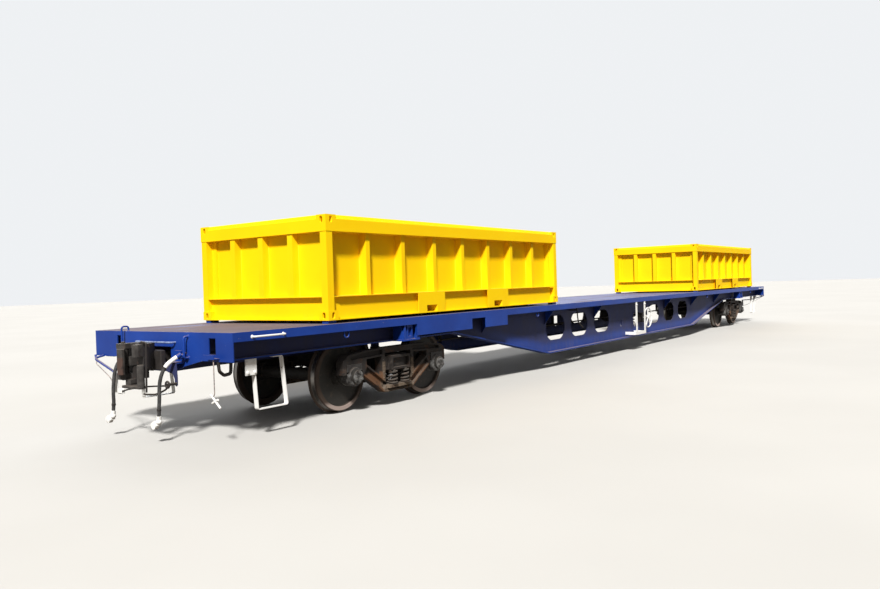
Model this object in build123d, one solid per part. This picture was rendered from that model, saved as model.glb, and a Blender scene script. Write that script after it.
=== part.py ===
import os
from math import cos, hypot, pi, radians, sin, tan

from build123d import *

# Bogie container flat wagon with two half-height open bins, millimetres.
# X runs along the wagon, Y across it, Z up from the lowest point of the wheel flanges.
# "Near" is the -X end, "right" is the -Y side, "left" is the +Y side.

# Driving sizes of the wagon
deck_length = 23300.0
deck_width = 2644.0
deck_top = 1208.0
deck_plate = 8.0
deck_plates = 10
deck_seam = 6.0
edge_depth = 100.0
edge_flange = 60.0
edge_wall = 8.0
bogie_centres = 17240.0
axle_spacing = 1790.0
wheel_tread = 920.0
flange_height = 28.0
back_to_back = 1358.0
journal_centres = 1980.0
coupler_height = 875.0
pulling_face = 465.0

# Main girders, one under each side of the deck
girder_inset = 292.0
girder_web = 12.0
girder_flange_width = 180.0
girder_top_flange = 120.0
girder_flange = 20.0
girder_shallow_z = 892.0
girder_belly_z = 300.0
belly_knee_x = 4270.0
belly_end_x = 7300.0
girder_hole_length = 770.0
girder_hole_height = 470.0
girder_hole_z = 762.0
girder_holes = (-3842.0, -2802.0, -1706.0, 1410.0, 2512.0, 3612.0)
slot_x = -645.0
slot_low_z = 565.0
oval_x = 170.0
oval_z = 690.0
stiffener = 10.0

# Bins: ISO 20 ft footprint, half height
bin_length = 6058.0
bin_width = 2438.0
bin_height = 1300.0
bin_seat = 40.0
bin_base = 296.0
bin_rail_wall = 8.0
bin_rail_depth = 68.0
bin_sheet = 5.0
bin_post = 112.0
bin_side_sheet_depth = 184.0
bin_side_rib_depth = 60.0
bin_side_rib_width = 75.0
bin_side_rib_pitch = 735.0
bin_side_ribs = 7
bin_end_sheet_depth = 122.0
bin_end_rib_depth = 16.0
bin_end_rib_width = 92.0
bin_end_rib_pitch = 560.0
bin_end_ribs = 3
bin_top_rail = 206.0
bin_top_chamfer = 55.0
bin_top_lap = 20.0
bin_corner_fill = 142.0
casting_length = 178.0
casting_width = 162.0
casting_height = 118.0
casting_hole = 52.0
casting_hole_height = 82.0
casting_hole_length = 100.0
fork_width = 250.0
fork_height = 92.0
fork_z = 16.0
fork_pitch = 1820.0
fork_plate = 640.0
fork_wall = 8.0
bins = {"near": -7091.0, "far": 7420.0}

# Air pipes
pipe_r = 21.0
pipe_z = 943.0
pipe_hole = 26.0
brake_pipe_y = -505.0
main_pipe_y = 505.0
cock_x = deck_length / 2 + 22.0
cock_end = deck_length / 2 + 110.0

# Clearances
seat_gap = 0.3
running_gap = 0.3

# Values that follow from the driving sizes
rail_z = flange_height
axle_z = rail_z + wheel_tread / 2
deck_under = deck_top - deck_plate
half_deck = deck_length / 2
half_width = deck_width / 2
girder_y = half_width - girder_inset
bogie_x = bogie_centres / 2
coupler_z = rail_z + coupler_height
bin_z = deck_top + bin_seat
journal_y = journal_centres / 2

parts = {}


def block(x0, x1, y0, y1, z0, z1):
    """A box between two corners."""
    size = (abs(x1 - x0), abs(y1 - y0), abs(z1 - z0))
    return Pos((x0 + x1) / 2, (y0 + y1) / 2, (z0 + z1) / 2) * Box(*size)


def slab_y(points, y0, y1):
    """A plate standing along the wagon: outline points are (x, z)."""
    outline = Polyline([Vector(x, y0, z) for x, z in points], close=True)
    return extrude(make_face(outline), amount=abs(y1 - y0), dir=(0, 1 if y1 > y0 else -1, 0))


def slab_x(points, x0, x1):
    """A plate standing across the wagon: outline points are (y, z)."""
    outline = Polyline([Vector(x0, y, z) for y, z in points], close=True)
    return extrude(make_face(outline), amount=abs(x1 - x0), dir=(1 if x1 > x0 else -1, 0, 0))


def slab_z(points, z0, z1):
    """A flat plate: outline points are (x, y)."""
    outline = Polyline([Vector(x, y, z0) for x, y in points], close=True)
    return extrude(make_face(outline), amount=abs(z1 - z0), dir=(0, 0, 1 if z1 > z0 else -1))


def rod_x(x0, x1, y, z, radius):
    return Pos((x0 + x1) / 2, y, z) * Rot(0, 90, 0) * Cylinder(radius, abs(x1 - x0))


def rod_y(x, y0, y1, z, radius):
    return Pos(x, (y0 + y1) / 2, z) * Rot(90, 0, 0) * Cylinder(radius, abs(y1 - y0))


def rod_z(x, y, z0, z1, radius):
    return Pos(x, y, (z0 + z1) / 2) * Cylinder(radius, abs(z1 - z0))


def bent_bar(points, radius, bend):
    """A round bar along straight runs. A short straight cuts each corner and meets both at half the turn."""
    spots = [points[0]]
    for before, corner, after in zip(points, points[1:], points[2:]):
        come, leave = (corner - before).normalized(), (after - corner).normalized()
        cut = bend * tan(radians(come.get_angle(leave)) / 2)
        spots += [corner - come * cut, corner + leave * cut]
    spots.append(points[-1])
    path = Polyline(*spots)
    start = Plane(path @ 0, z_dir=path % 0)
    return sweep(start * Circle(radius), path, transition=Transition.RIGHT)


def flat_hoop(points, width, thick, bend, normal):
    """A flat bar bent along straight runs, its width along the given normal."""
    path = FilletPolyline(*points, radius=bend)
    start = Plane(path @ 0, x_dir=normal, z_dir=path % 0)
    return sweep(start * Rectangle(width, thick), path)


def fuse(pieces):
    """One solid from pieces that overlap or touch."""
    first, *rest = pieces
    return first.fuse(*rest).clean() if rest else first


def together(pieces):
    """Several solids that share one node."""
    solids = []
    for piece in pieces:
        solids.extend(piece.solids())
    return Compound(children=solids)


def placed(place, piece):
    """A node moved solid by solid, so that each solid holds its own place."""
    solids = [place * solid for solid in piece.solids()]
    return solids[0] if len(solids) == 1 else Compound(children=solids)


def turned(piece):
    """The same piece at the far end, turned half a circle about the vertical axis."""
    return placed(Rot(0, 0, 180), piece)


def mirrored_y(piece):
    """The same piece on the other side of the wagon."""
    return mirror(piece, about=Plane.XZ)


def oval_slot(across, up, length, direction, upright=True):
    """A hole with round ends, longer one way than across, cut along x, y or z."""
    half = (up - across) / 2
    ends = [Pos(s * half, 0, 0) * Cylinder(across / 2, length) for s in (-1, 1)]
    hole = fuse([Box(2 * half, across, length)] + ends)
    if direction == "x":
        return Rot(0, 90, 0) * hole
    if direction == "y":
        return Rot(90, 0, 0) * Rot(0, 0, 90 if upright else 0) * hole
    return hole


# Deck plates with open seams

headstock_plate = 12.0
edge_x = half_deck - headstock_plate
plate_length = 2 * edge_x / deck_plates
deck = []
for i in range(deck_plates):
    x0 = -edge_x + i * plate_length + (deck_seam / 2 if i else 0)
    x1 = -edge_x + (i + 1) * plate_length - (deck_seam / 2 if i < deck_plates - 1 else 0)
    deck.append(block(x0, x1, -half_width + edge_wall, half_width - edge_wall, deck_under, deck_top))
parts["deck_plates"] = together(deck)

# Edge channels along both sides of the deck


def edge_channel():
    y = -half_width
    web = block(-edge_x, edge_x, y, y + edge_wall, deck_top - edge_depth, deck_top)
    top = block(-edge_x, edge_x, y + edge_wall, y + edge_flange, deck_under - edge_wall, deck_under)
    low = deck_top - edge_depth
    bottom = block(-edge_x, edge_x, y + edge_wall, y + edge_flange, low, low + edge_wall)
    return fuse([web, top, bottom])


parts["edge_channels"] = together([edge_channel(), mirrored_y(edge_channel())])

# Main girders: fish-belly web with long round-ended holes, flanges and stiffeners

girder_end = half_deck - headstock_plate
stiffener_x = (4800.0, 5600.0)
bolster_half = 200.0


def girder_low(x):
    """Height of the underside of the girder at a place along the wagon."""
    x = abs(x)
    if x <= belly_knee_x:
        return girder_belly_z
    if x >= belly_end_x:
        return girder_shallow_z
    share = (x - belly_knee_x) / (belly_end_x - belly_knee_x)
    return girder_belly_z + share * (girder_shallow_z - girder_belly_z)


def girder_piece(knots):
    """A length of girder on the right side: web, bottom flange and top flange."""
    y = -girder_y
    low = [(x, girder_low(x)) for x in knots]
    top = deck_under
    x0, x1 = knots[0], knots[-1]
    web = slab_y(low + [(x1, top), (x0, top)], y - girder_web / 2, y + girder_web / 2)
    for x in girder_holes:
        if x0 < x < x1:
            hole = oval_slot(girder_hole_height, girder_hole_length, 4 * girder_web, "y", upright=False)
            web -= placed(Pos(x, y, girder_hole_z), hole)
    flange_line = low + [(x, z + girder_flange) for x, z in reversed(low)]
    flange = slab_y(flange_line, y - girder_flange_width / 2, y + girder_flange_width / 2)
    half_top = girder_top_flange / 2
    top_flange = block(x0, x1, y - half_top, y + half_top, top - girder_web, top)
    return [web, flange, top_flange]


def belly_girder():
    """The deep middle length with its holes and stiffeners."""
    y = -girder_y
    web, flange, top_flange = girder_piece((-belly_end_x, -belly_knee_x, belly_knee_x, belly_end_x))
    web -= block(slot_x - 23, slot_x + 23, y - 20, y + 20, slot_low_z, slot_low_z + 150)
    web -= placed(Pos(oval_x, y, oval_z), oval_slot(200, 340, 40, "y"))
    pieces = [web, flange, top_flange]
    for x in stiffener_x:
        z0 = girder_low(x) + girder_flange / 2
        for c in (-x, x):
            pieces.append(block(c - stiffener / 2, c + stiffener / 2, y, y + 70, z0, deck_under - girder_web))
    return fuse(pieces)


def girder_end_piece():
    """The shallow end length over the near bogie."""
    return fuse(girder_piece((-girder_end, -belly_end_x)))


parts["main_girders"] = together([belly_girder(), mirrored_y(belly_girder())])
girder_tip = girder_end_piece()
girder_tips = [girder_tip, mirrored_y(girder_tip)]
parts["girder_ends"] = together(girder_tips + [turned(tip) for tip in girder_tips])

# Headstocks with the coupler mouth and lamp pockets

mouth_half = 240.0
mouth_top = 1040.0
mouth_low = 770.0
lamp_ledge_z = 927.0
lamp_pockets = (
    # middle across, width, low, top
    (-980.0, 115.0, 972.0, 1147.0),
    (790.0, 100.0, 1010.0, 1157.0),
)
headstock_line = [
    (-half_width, 898.0), (-800.0, 898.0), (-480.0, 826.0), (-300.0, 760.0),
    (300.0, 760.0), (480.0, 826.0), (800.0, 898.0), (half_width, 898.0),
    (half_width, deck_top), (-half_width, deck_top),
]


def headstock(pipe_ends):
    face = slab_x(headstock_line, -half_deck, -half_deck + headstock_plate)
    mouth = block(-half_deck - 5, -half_deck + 20, -mouth_half, mouth_half, mouth_low + 30, mouth_top)
    face -= mouth
    for y, width, z0, z1 in lamp_pockets:
        face -= block(-half_deck - 5, -half_deck + 20, y - width / 2, y + width / 2, z0, z1)
    for y in pipe_ends:
        face -= rod_x(-half_deck - 5, -half_deck + 20, y, pipe_z, pipe_hole)
    ledge = block(-half_deck - 78, -half_deck, -1100, -920, lamp_ledge_z, lamp_ledge_z + 10)
    lip = block(-half_deck - 78, -half_deck - 70, -1100, -920, lamp_ledge_z, lamp_ledge_z + 48)
    return fuse([face, ledge, lip])


parts["near_headstock"] = headstock((brake_pipe_y, main_pipe_y))
parts["far_headstock"] = turned(headstock((-brake_pipe_y, -main_pipe_y)))

# Stub centre sills that hold the couplers, from headstock to body bolster

sill_half = 175.0
sill_wall = 16.0
sill_low = 760.0
coupler_pivot = half_deck + pulling_face - 1100.0


def stub_sill():
    x0 = -half_deck + headstock_plate
    x1 = -bogie_x - bolster_half
    walls = []
    for side in (-1, 1):
        inner = side * (mouth_half + sill_wall)
        narrow = side * (sill_half + sill_wall)
        line = [
            (x0, side * mouth_half), (x0 + 500, side * sill_half), (x1, side * sill_half),
            (x1, narrow), (x0 + 500, narrow), (x0, inner),
        ]
        walls.append(slab_z(line, sill_low, deck_under))
    cover = [
        (x0, -mouth_half), (x0 + 500, -sill_half), (x1, -sill_half),
        (x1, sill_half), (x0 + 500, sill_half), (x0, mouth_half),
    ]
    roof = slab_z(cover, 1060.0, 1060.0 + sill_wall)
    keeper = block(x0 + 500, x1, -sill_half, sill_half, sill_low, sill_low + 14)
    pin = rod_z(-coupler_pivot, 0, sill_low + 14, 1060, 38)
    stop = block(-coupler_pivot + 170, x1, -sill_half, sill_half, sill_low + 14, 1060)
    return fuse(walls + [roof, keeper, pin, stop])


parts["centre_sills"] = together([stub_sill(), turned(stub_sill())])

# Body bolsters with centre plates and side bearers

bowl_z = 730.0
bolster_low = 780.0
centre_disc = 150.0
side_bearer_y = 635.0
girder_face = girder_y - girder_web / 2


def body_bolster():
    x = -bogie_x
    flange_y = girder_y - girder_flange_width / 2
    top_flange_y = girder_y - girder_top_flange / 2
    flange_z = girder_shallow_z + girder_flange
    top = deck_under - girder_web
    half_line = [
        (sill_half + 40, bolster_low), (flange_y - 20, flange_z), (girder_face, flange_z),
        (girder_face, top), (top_flange_y, top), (top_flange_y, deck_under),
    ]
    line = half_line + [(-y, z) for y, z in reversed(half_line)]
    beam = slab_x(line, x - bolster_half, x + bolster_half)
    beam -= block(x - bolster_half + 20, x + bolster_half - 20, -girder_face + 60, girder_face - 60,
                  bolster_low + 160, deck_under - 14)
    for y in (brake_pipe_y, main_pipe_y):
        beam -= rod_x(x - bolster_half - 5, x + bolster_half + 5, y, pipe_z, pipe_hole)
    disc = rod_z(x, 0, bowl_z + seat_gap, bolster_low + 20, centre_disc)
    bearers = [rod_z(x, s * side_bearer_y, 800, 900, 60) for s in (-1, 1)]
    return fuse([beam, disc] + bearers)


parts["body_bolsters"] = together([body_bolster(), turned(body_bolster())])

# Cross bearers between the girders, and outriggers that carry the deck edge

bearer_x = (0.0, 2130.0, 4300.0, 6450.0)
bearer_depth = 160.0
outrigger_x = (2130.0, 4300.0, 6450.0)


def cross_bearers():
    pieces = []
    for x in bearer_x:
        for side in (-1, 1) if x else (1,):
            c = side * x
            under = deck_under - girder_web
            tip = girder_y - girder_top_flange / 2
            low = deck_under - bearer_depth
            half_line = [(girder_face, low), (girder_face, under), (tip, under), (tip, deck_under)]
            web = slab_x(half_line + [(-y, z) for y, z in reversed(half_line)], c - 5, c + 5)
            foot = block(c - 50, c + 50, -girder_face, girder_face, low, low + 10)
            pieces.append(fuse([web, foot]))
    return together(pieces)


def outrigger(x, thick):
    y0 = -half_width + edge_wall
    y1 = -girder_y - girder_web / 2
    y2 = -girder_y - 60
    edge = y0 + edge_flange
    step = deck_top - edge_depth
    top = deck_under - girder_web
    line = [(edge, deck_under - edge_wall), (edge, step), (edge + 20, step - 20), (y1, 830.0), (y1, top),
            (y2, top), (y2, deck_under - edge_wall)]
    return slab_x(line, x - thick / 2, x + thick / 2)


def outriggers():
    pieces = []
    for x in outrigger_x:
        for side in (-1, 1):
            near = outrigger(side * x + 14, 8.0)
            pieces += [near, mirrored_y(near)]
    return together(pieces)


parts["cross_bearers"] = cross_bearers()
parts["outriggers"] = outriggers()

# Jacking brackets outside the girders at the bogie centres

jack_half = 185.0


def jacking_bracket(x):
    y0 = -half_width + edge_wall + 4
    y1 = -girder_y - girder_flange_width / 2
    low = girder_shallow_z
    step = deck_top - edge_depth
    pad = block(x - jack_half, x + jack_half, y0, y1, low, low + 20)
    cheeks = []
    for s in (-1, 1):
        line = [(y0, low + 20), (y0, low + 60), (y0 + 60, step), (y1, step), (y1, low + 20)]
        cheeks.append(slab_x(line, x + s * (jack_half - 24) - 6, x + s * (jack_half - 24) + 6))
    box_web = block(x - 60, x + 60, y0 + 30, y1, low + 20, step)
    box_web -= block(x - 36, x + 36, y0 + 20, y0 + 60, low + 60, step - 40)
    gussets = []
    for s in (-1, 1):
        foot = low + 20
        line = [(x + s * jack_half, foot), (x + s * 100, foot), (x + s * 118, step), (x + s * 138, step)]
        gussets.append(slab_y(line, y0 + 8, y0 + 20))
    return fuse([pad, box_web] + cheeks + gussets)


jacks = []
for end in (-1, 1):
    jack = jacking_bracket(end * bogie_x)
    jacks += [jack, mirrored_y(jack)]
parts["jacking_brackets"] = together(jacks)

# Side skirt plates below the edge channel, on the right side near end and turned at the other

skirt_low = 952.0
skirts = ((-8504.0, -7130.0), (-6750.0, -6080.0))


def skirt_plates():
    y = -half_width
    top = deck_top - edge_depth
    return [block(x0, x1, y, y + 8, skirt_low, top) for x0, x1 in skirts]


parts["side_skirts"] = together(skirt_plates() + [turned(p) for p in skirt_plates()])

# Container locks between the deck and the bins' corner castings

lock_x = bin_length / 2 - casting_length / 2
lock_y = bin_width / 2 - casting_width / 2
locks = []
for centre in bins.values():
    for sx in (-1, 1):
        for sy in (-1, 1):
            x, y = centre + sx * lock_x, sy * lock_y
            locks.append(block(x - 70, x + 70, y - 50, y + 50, deck_top, bin_z))
parts["container_locks"] = together(locks)

# Bins: base frame, two side walls and two end frames each


def bin_base_frame():
    """Floor, recessed side webs with a ledge above and below, and two fork tunnels with their face plates."""
    hl, hw = bin_length / 2, bin_width / 2
    inner = bin_rail_depth
    x1 = hl - casting_length
    pieces = []
    for s in (-1, 1):
        pieces.append(block(-x1, x1, s * (hw - inner), s * (hw - inner - bin_rail_wall), 0, bin_base))
        ledge_y = s * (hw - bin_side_sheet_depth - bin_top_lap)
        pieces.append(block(-x1, x1, s * hw, ledge_y, bin_base - 10, bin_base))
        pieces.append(block(-x1, x1, s * hw, s * (hw - inner), 0, 12))
        for sx in (-1, 1):
            x = sx * fork_pitch / 2
            half = fork_plate / 2
            pieces.append(block(x - half, x + half, s * hw, s * (hw - 8), 12, bin_base - 10))
    pieces.append(block(-x1, x1, -hw + inner, hw - inner, bin_base - 10, bin_base - 4))
    for sx in (-1, 1):
        x = sx * fork_pitch / 2
        outer_w = fork_width / 2 + fork_wall
        pieces.append(block(x - outer_w, x + outer_w, -hw + 8, hw - 8, fork_z - 8, fork_z + fork_height + 8))
    frame = fuse(pieces)
    for sx in (-1, 1):
        x = sx * fork_pitch / 2
        frame -= block(x - fork_width / 2, x + fork_width / 2, -hw - 5, hw + 5, fork_z, fork_z + fork_height)
    return frame


def centred(count, pitch):
    """Places of a row of like pieces about its middle."""
    return [(k - (count - 1) / 2) * pitch for k in range(count)]


def rail_line(edge, depth):
    """Section of a top rail from its outer edge inwards, its outer upper corner sloped."""
    low = bin_height - bin_top_rail
    return [(edge, low), (edge, bin_height - bin_top_chamfer), (edge + bin_top_chamfer * 0.7, bin_height),
            (edge + depth, bin_height), (edge + depth, low)]


def bin_side():
    """The right side wall: a sheet set back behind its ribs, under the top rail."""
    hl, hw = bin_length / 2, bin_width / 2
    x1, x2 = hl - casting_length, hl - bin_corner_fill
    y = -hw
    rail_low = bin_height - bin_top_rail
    sheet_y = y + bin_side_sheet_depth
    sheet = block(-x2, x2, sheet_y, sheet_y + bin_sheet, bin_base, rail_low)
    rail = slab_x(rail_line(y, bin_side_sheet_depth + bin_top_lap), -x1, x1)
    ribs = []
    for c in centred(bin_side_ribs, bin_side_rib_pitch):
        half = bin_side_rib_width / 2
        ribs.append(block(c - half, c + half, y + bin_side_rib_depth, sheet_y, bin_base, rail_low))
    return fuse([sheet, rail] + ribs)


def corner_casting(sx, sy, z0, up):
    """A corner casting with an oval hole in its end, its side and its top or bottom."""
    hl, hw = bin_length / 2, bin_width / 2
    body = block(sx * hl, sx * (hl - casting_length), sy * hw, sy * (hw - casting_width),
                 z0, z0 + casting_height)
    x, y, z = sx * (hl - casting_length / 2), sy * (hw - casting_width / 2), z0 + casting_height / 2
    body -= block(x - 60, x + 60, y - 52, y + 52, z - 38, z + 38)
    body -= Pos(sx * hl, y, z) * oval_slot(casting_hole, casting_hole_height, 80, "x")
    body -= Pos(x, sy * hw, z) * oval_slot(casting_hole, casting_hole_height, 80, "y")
    body -= Pos(x, y, z + up * casting_height / 2) * oval_slot(casting_hole, casting_hole_length, 60, "z")
    return body


def bin_end():
    """The near end frame: castings, corner posts, set-back sheet, ribs, top rail and bottom rail."""
    hl, hw = bin_length / 2, bin_width / 2
    x = -hl
    rail_low = bin_height - bin_top_rail
    top = bin_height - casting_height
    pieces = []
    for s in (-1, 1):
        pieces += [corner_casting(-1, s, 0, -1), corner_casting(-1, s, top, 1)]
        pieces.append(block(x, x + casting_length, s * hw, s * (hw - casting_width), rail_low, top))
        pieces.append(block(x + 6, x + bin_post, s * (hw - 6), s * (hw - bin_post), casting_height, rail_low))
        pieces.append(block(x + bin_post - 12, x + bin_corner_fill, s * (hw - bin_post + 12),
                            s * (hw - bin_side_sheet_depth - bin_top_lap), casting_height - 20, rail_low))
        pieces.append(block(x + bin_corner_fill - 10, x + casting_length, s * (hw - 12),
                            s * (hw - bin_side_sheet_depth - bin_top_lap), bin_base - 10, bin_base))
        pieces.append(block(x + bin_corner_fill - 10, x + casting_length, s * (hw - casting_width + 5),
                            s * (hw - bin_side_sheet_depth - bin_top_lap), rail_low, bin_height))
    post_inner = hw - bin_post
    cast_inner = hw - casting_width
    sheet_x = x + bin_end_sheet_depth
    pieces.append(block(sheet_x, sheet_x + bin_sheet, -post_inner, post_inner, bin_base - 5, rail_low + 5))
    pieces.append(slab_y(rail_line(x, bin_end_sheet_depth + bin_top_lap), -cast_inner, cast_inner))
    half = bin_end_rib_width / 2
    for c in centred(bin_end_ribs, bin_end_rib_pitch):
        pieces.append(block(x + bin_end_rib_depth, sheet_x, c - half, c + half, bin_base - 5, rail_low + 5))
    web_x = x + bin_rail_depth
    pieces.append(block(web_x, web_x + bin_rail_wall, -cast_inner, cast_inner, 0, bin_base))
    pieces.append(block(web_x, web_x + bin_rail_wall, -post_inner, post_inner, casting_height, bin_base))
    pieces.append(block(x, x + bin_corner_fill, -post_inner, post_inner, bin_base - 10, bin_base))
    pieces.append(block(x, web_x, -cast_inner, cast_inner, 0, 12))
    pieces.append(block(web_x, x + casting_length, -cast_inner, cast_inner, bin_base - 10, bin_base - 4))
    return fuse(pieces)


for name, centre in bins.items():
    place = Pos(centre, 0, bin_z)
    parts[f"{name}_bin_base"] = placed(place, bin_base_frame())
    parts[f"{name}_bin_right_side"] = placed(place, bin_side())
    parts[f"{name}_bin_left_side"] = placed(place, mirrored_y(bin_side()))
    parts[f"{name}_bin_near_end"] = placed(place, bin_end())
    parts[f"{name}_bin_far_end"] = placed(place, turned(bin_end()))

# Wheelsets

wheel_half = wheel_tread / 2
rim_inner = back_to_back / 2
rim_width = 135.0
rim_outer = rim_inner + rim_width
hub_radius = 125.0
wheel_seat = 95.0
axle_body = 82.0
journal = 72.0
journal_end = journal_y + 95


def wheel():
    """One wheel on the +Y side, its axis on Y: rim with flange, dished plate and hub."""
    yi, yo, r = rim_inner, rim_outer, wheel_half
    section = [
        (wheel_seat, yi - 12), (hub_radius, yi - 12), (hub_radius + 10, yi + 50), (r - 72, yi + 74),
        (r - 60, yi + 4), (r + 12, yi), (r + flange_height, yi + 16), (r + 10, yi + 34), (r + 2, yi + 46),
        (r - 3, yo - 8), (r - 10, yo), (r - 58, yo), (r - 72, yi + 96), (hub_radius + 10, yi + 76),
        (hub_radius, yo + 30), (wheel_seat, yo + 30),
    ]
    outline = Polyline([Vector(a, b, 0) for a, b in section], close=True)
    return revolve(make_face(outline), axis=Axis.Y)


def axle():
    section = [
        (0, 0), (axle_body, 0), (axle_body, rim_inner - 60), (wheel_seat, rim_inner - 30),
        (wheel_seat, rim_outer + 36), (90, rim_outer + 50), (90, journal_y - 85), (journal, journal_y - 75),
        (journal, journal_end), (0, journal_end),
    ]
    outline = Polyline([Vector(a, b, 0) for a, b in section], close=True)
    half = revolve(make_face(outline), axis=Axis.Y)
    return fuse([half, mirrored_y(half)])


def end_cap():
    """The bearing's end cap, which turns with the axle."""
    disc = rod_y(0, journal_end, journal_end + 34, 0, 92)
    bolts = [rod_y(54 * cos(a), journal_end + 34, journal_end + 48, 54 * sin(a), 16)
             for a in (pi / 2, pi / 2 + 2 * pi / 3, pi / 2 + 4 * pi / 3)]
    return fuse([disc] + bolts)


# Bogie side frames, bolster, springs and bearings in bogie axes (bogie centre at X 0)

frame_inner = journal_y - 65
frame_outer = journal_y + 65
pedestal_roof = axle_z + 160
jaw_foot = axle_z + 32
arm_foot = axle_z + 12
window_half = 280.0
seat_z = 300.0
spring_top = 500.0
bearing_r = 125.0


def both_ends(points):
    """An outline given for +X, completed by symmetry."""
    return points + [(-x, z) for x, z in reversed(points)]


side_frame_line = both_ends([
    (300.0, 205.0), (742.0, arm_foot), (742.0, pedestal_roof), (1042.0, pedestal_roof), (1042.0, jaw_foot),
    (1100.0, jaw_foot), (1100.0, 700.0), (1010.0, 765.0), (700.0, 800.0), (340.0, 815.0),
])


channel_depth = 48.0


def strip(start, end, low, high, trim):
    """Corners of a band beside a line: between two offsets to its left, trimmed at both ends."""
    dx, dz = end[0] - start[0], end[1] - start[1]
    run = hypot(dx, dz)
    dx, dz = dx / run, dz / run
    spots = ((trim, low), (run - trim, low), (run - trim, high), (trim, high))
    return [(start[0] + a * dx - b * dz, start[1] + a * dz + b * dx) for a, b in spots]


def side_frame():
    """Cast side frame: window for the bolster, holes beside it and open channels along its members."""
    y0, y1 = -frame_outer, -frame_inner
    frame = slab_y(side_frame_line, y0, y1)
    frame -= block(-window_half, window_half, y0 - 5, y1 + 5, seat_z, 735.0)
    tension = strip((300.0, 205.0), (742.0, arm_foot), 24.0, 126.0, 28.0)
    compression = [(330.0, 724.0), (330.0, 792.0), (700.0, 776.0), (960.0, 742.0), (960.0, 700.0),
                   (690.0, 712.0)]
    hole = [(345.0, 415.0), (345.0, 700.0), (655.0, 690.0), (655.0, 622.0)]
    for s in (-1, 1):
        frame -= slab_y([(s * x, z) for x, z in hole], y0 - 5, y1 + 5)
        for line in (tension, compression):
            frame -= slab_y([(s * x, z) for x, z in line], y0 - 5, y0 + channel_depth)
    frame -= slab_y([(-250, 222), (250, 222), (210, 252), (-210, 252)], y0 - 5, y0 + 30)
    seat = block(-250, 250, y0 - 40, y1 + 60, seat_z - 45, seat_z)
    return fuse([frame, seat])


wedge_foot = 205.0
wedge_head = 262.0
wedge_top = 645.0


def friction_wedge(sx, sy):
    """A wedge between the bolster's sloped end and the window's column."""
    face = window_half - seat_gap
    line = [(wedge_foot, spring_top), (face, spring_top), (face, wedge_top), (wedge_head, wedge_top)]
    return slab_y([(sx * x, z) for x, z in line], sy * (frame_inner + 15), sy * (frame_outer - 15))


def bogie_bolster():
    tip, shoulder = journal_y + 120, journal_y - 120
    half_line = [(420.0, 440.0), (600.0, spring_top), (tip, spring_top), (tip, 690.0), (shoulder, 715.0)]
    beam = slab_x(both_ends(half_line), -200, 200)
    ends = []
    for s in (-1, 1):
        line = both_ends([(wedge_foot - seat_gap, spring_top), (wedge_head - seat_gap, wedge_top),
                          (wedge_head - seat_gap, 680.0)])
        ends.append(slab_y(line, s * (frame_inner + 15), s * (frame_outer - 15)))
        beam -= block(-170, 170, s * (tip + 5), s * (tip - 50), spring_top + 30, 660.0)
    bowl = rod_z(0, 0, 715, bowl_z + 28, centre_disc + 35)
    bowl -= rod_z(0, 0, bowl_z, bowl_z + 30, centre_disc + 6)
    pads = [rod_z(0, s * side_bearer_y, 715, 794, 70) for s in (-1, 1)]
    return fuse([beam, bowl] + ends + pads)


spring_r = 66.0
spring_spots = [(x, sy * (journal_y + dy)) for x in (-125.0, 125.0) for sy in (-1, 1) for dy in (-70.0, 70.0)]


def springs():
    """Coil springs as round columns, four in each side frame, with the four friction wedges."""
    coil = rod_z(0, 0, seat_z, spring_top, spring_r)
    wedges = [friction_wedge(sx, sy) for sx in (-1, 1) for sy in (-1, 1)]
    return together([Pos(x, y, 0) * coil for x, y in spring_spots] + wedges)


def bearings():
    """Bearing cups with the adapters that seat in the pedestals."""
    pieces = []
    for sx in (-1, 1):
        for sy in (-1, 1):
            x = sx * axle_spacing / 2
            cup = rod_y(x, sy * (journal_y - 72), sy * (journal_y + 80), axle_z, bearing_r)
            adapter = block(x - 142, x + 142, sy * (frame_inner - 8), sy * (frame_outer + 8),
                            axle_z + 70, pedestal_roof)
            one = fuse([cup, adapter])
            one -= rod_y(x, sy * (journal_y - 90), sy * (journal_y + 100), axle_z, journal + running_gap)
            pieces.append(one)
    return together(pieces)


shoe_gap = 8.0


def brake_beams():
    """Brake beams between the wheels with their heads and shoes."""
    pieces = []
    for s in (-1, 1):
        x = s * (axle_spacing / 2 - wheel_half - 150)
        bar = rod_y(x, -640, 640, 430.0, 38)
        strut = block(x - 30, x + 30, -70, 70, 360.0, 520.0)
        parts_here = [bar, strut]
        for sy in (-1, 1):
            y = sy * (rim_inner + 92)
            shoe = block(x + s * 8, x + s * 170, y - 40, y + 40, 340.0, 560.0)
            centre = s * axle_spacing / 2
            shoe -= rod_y(centre, y - 60, y + 60, axle_z, wheel_half + shoe_gap)
            link = block(x - 14, x + 14, sy * 620, y, 415.0, 445.0)
            hanger = block(x - 12, x + 12, sy * frame_inner, sy * 700, 418.0, 442.0)
            parts_here += [shoe, link, hanger]
        pieces.append(fuse(parts_here))
    return together(pieces)


for name, end in (("near", -1), ("far", 1)):
    place = Pos(end * bogie_x, 0, 0)
    parts[f"{name}_bogie_side_frames"] = placed(place, together([side_frame(), mirrored_y(side_frame())]))
    parts[f"{name}_bogie_bolster"] = placed(place, bogie_bolster())
    parts[f"{name}_bogie_springs"] = placed(place, springs())
    parts[f"{name}_bogie_bearings"] = placed(place, bearings())
    parts[f"{name}_bogie_brake_beams"] = placed(place, brake_beams())
    for spot, sx in (("outer", end), ("inner", -end)):
        hub = Pos(end * bogie_x + sx * axle_spacing / 2, 0, axle_z)
        caps = [end_cap(), mirrored_y(end_cap())]
        parts[f"{name}_{spot}_axle"] = placed(hub, fuse([axle()] + caps))
        parts[f"{name}_{spot}_wheels"] = placed(hub, together([wheel(), mirrored_y(wheel())]))

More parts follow.
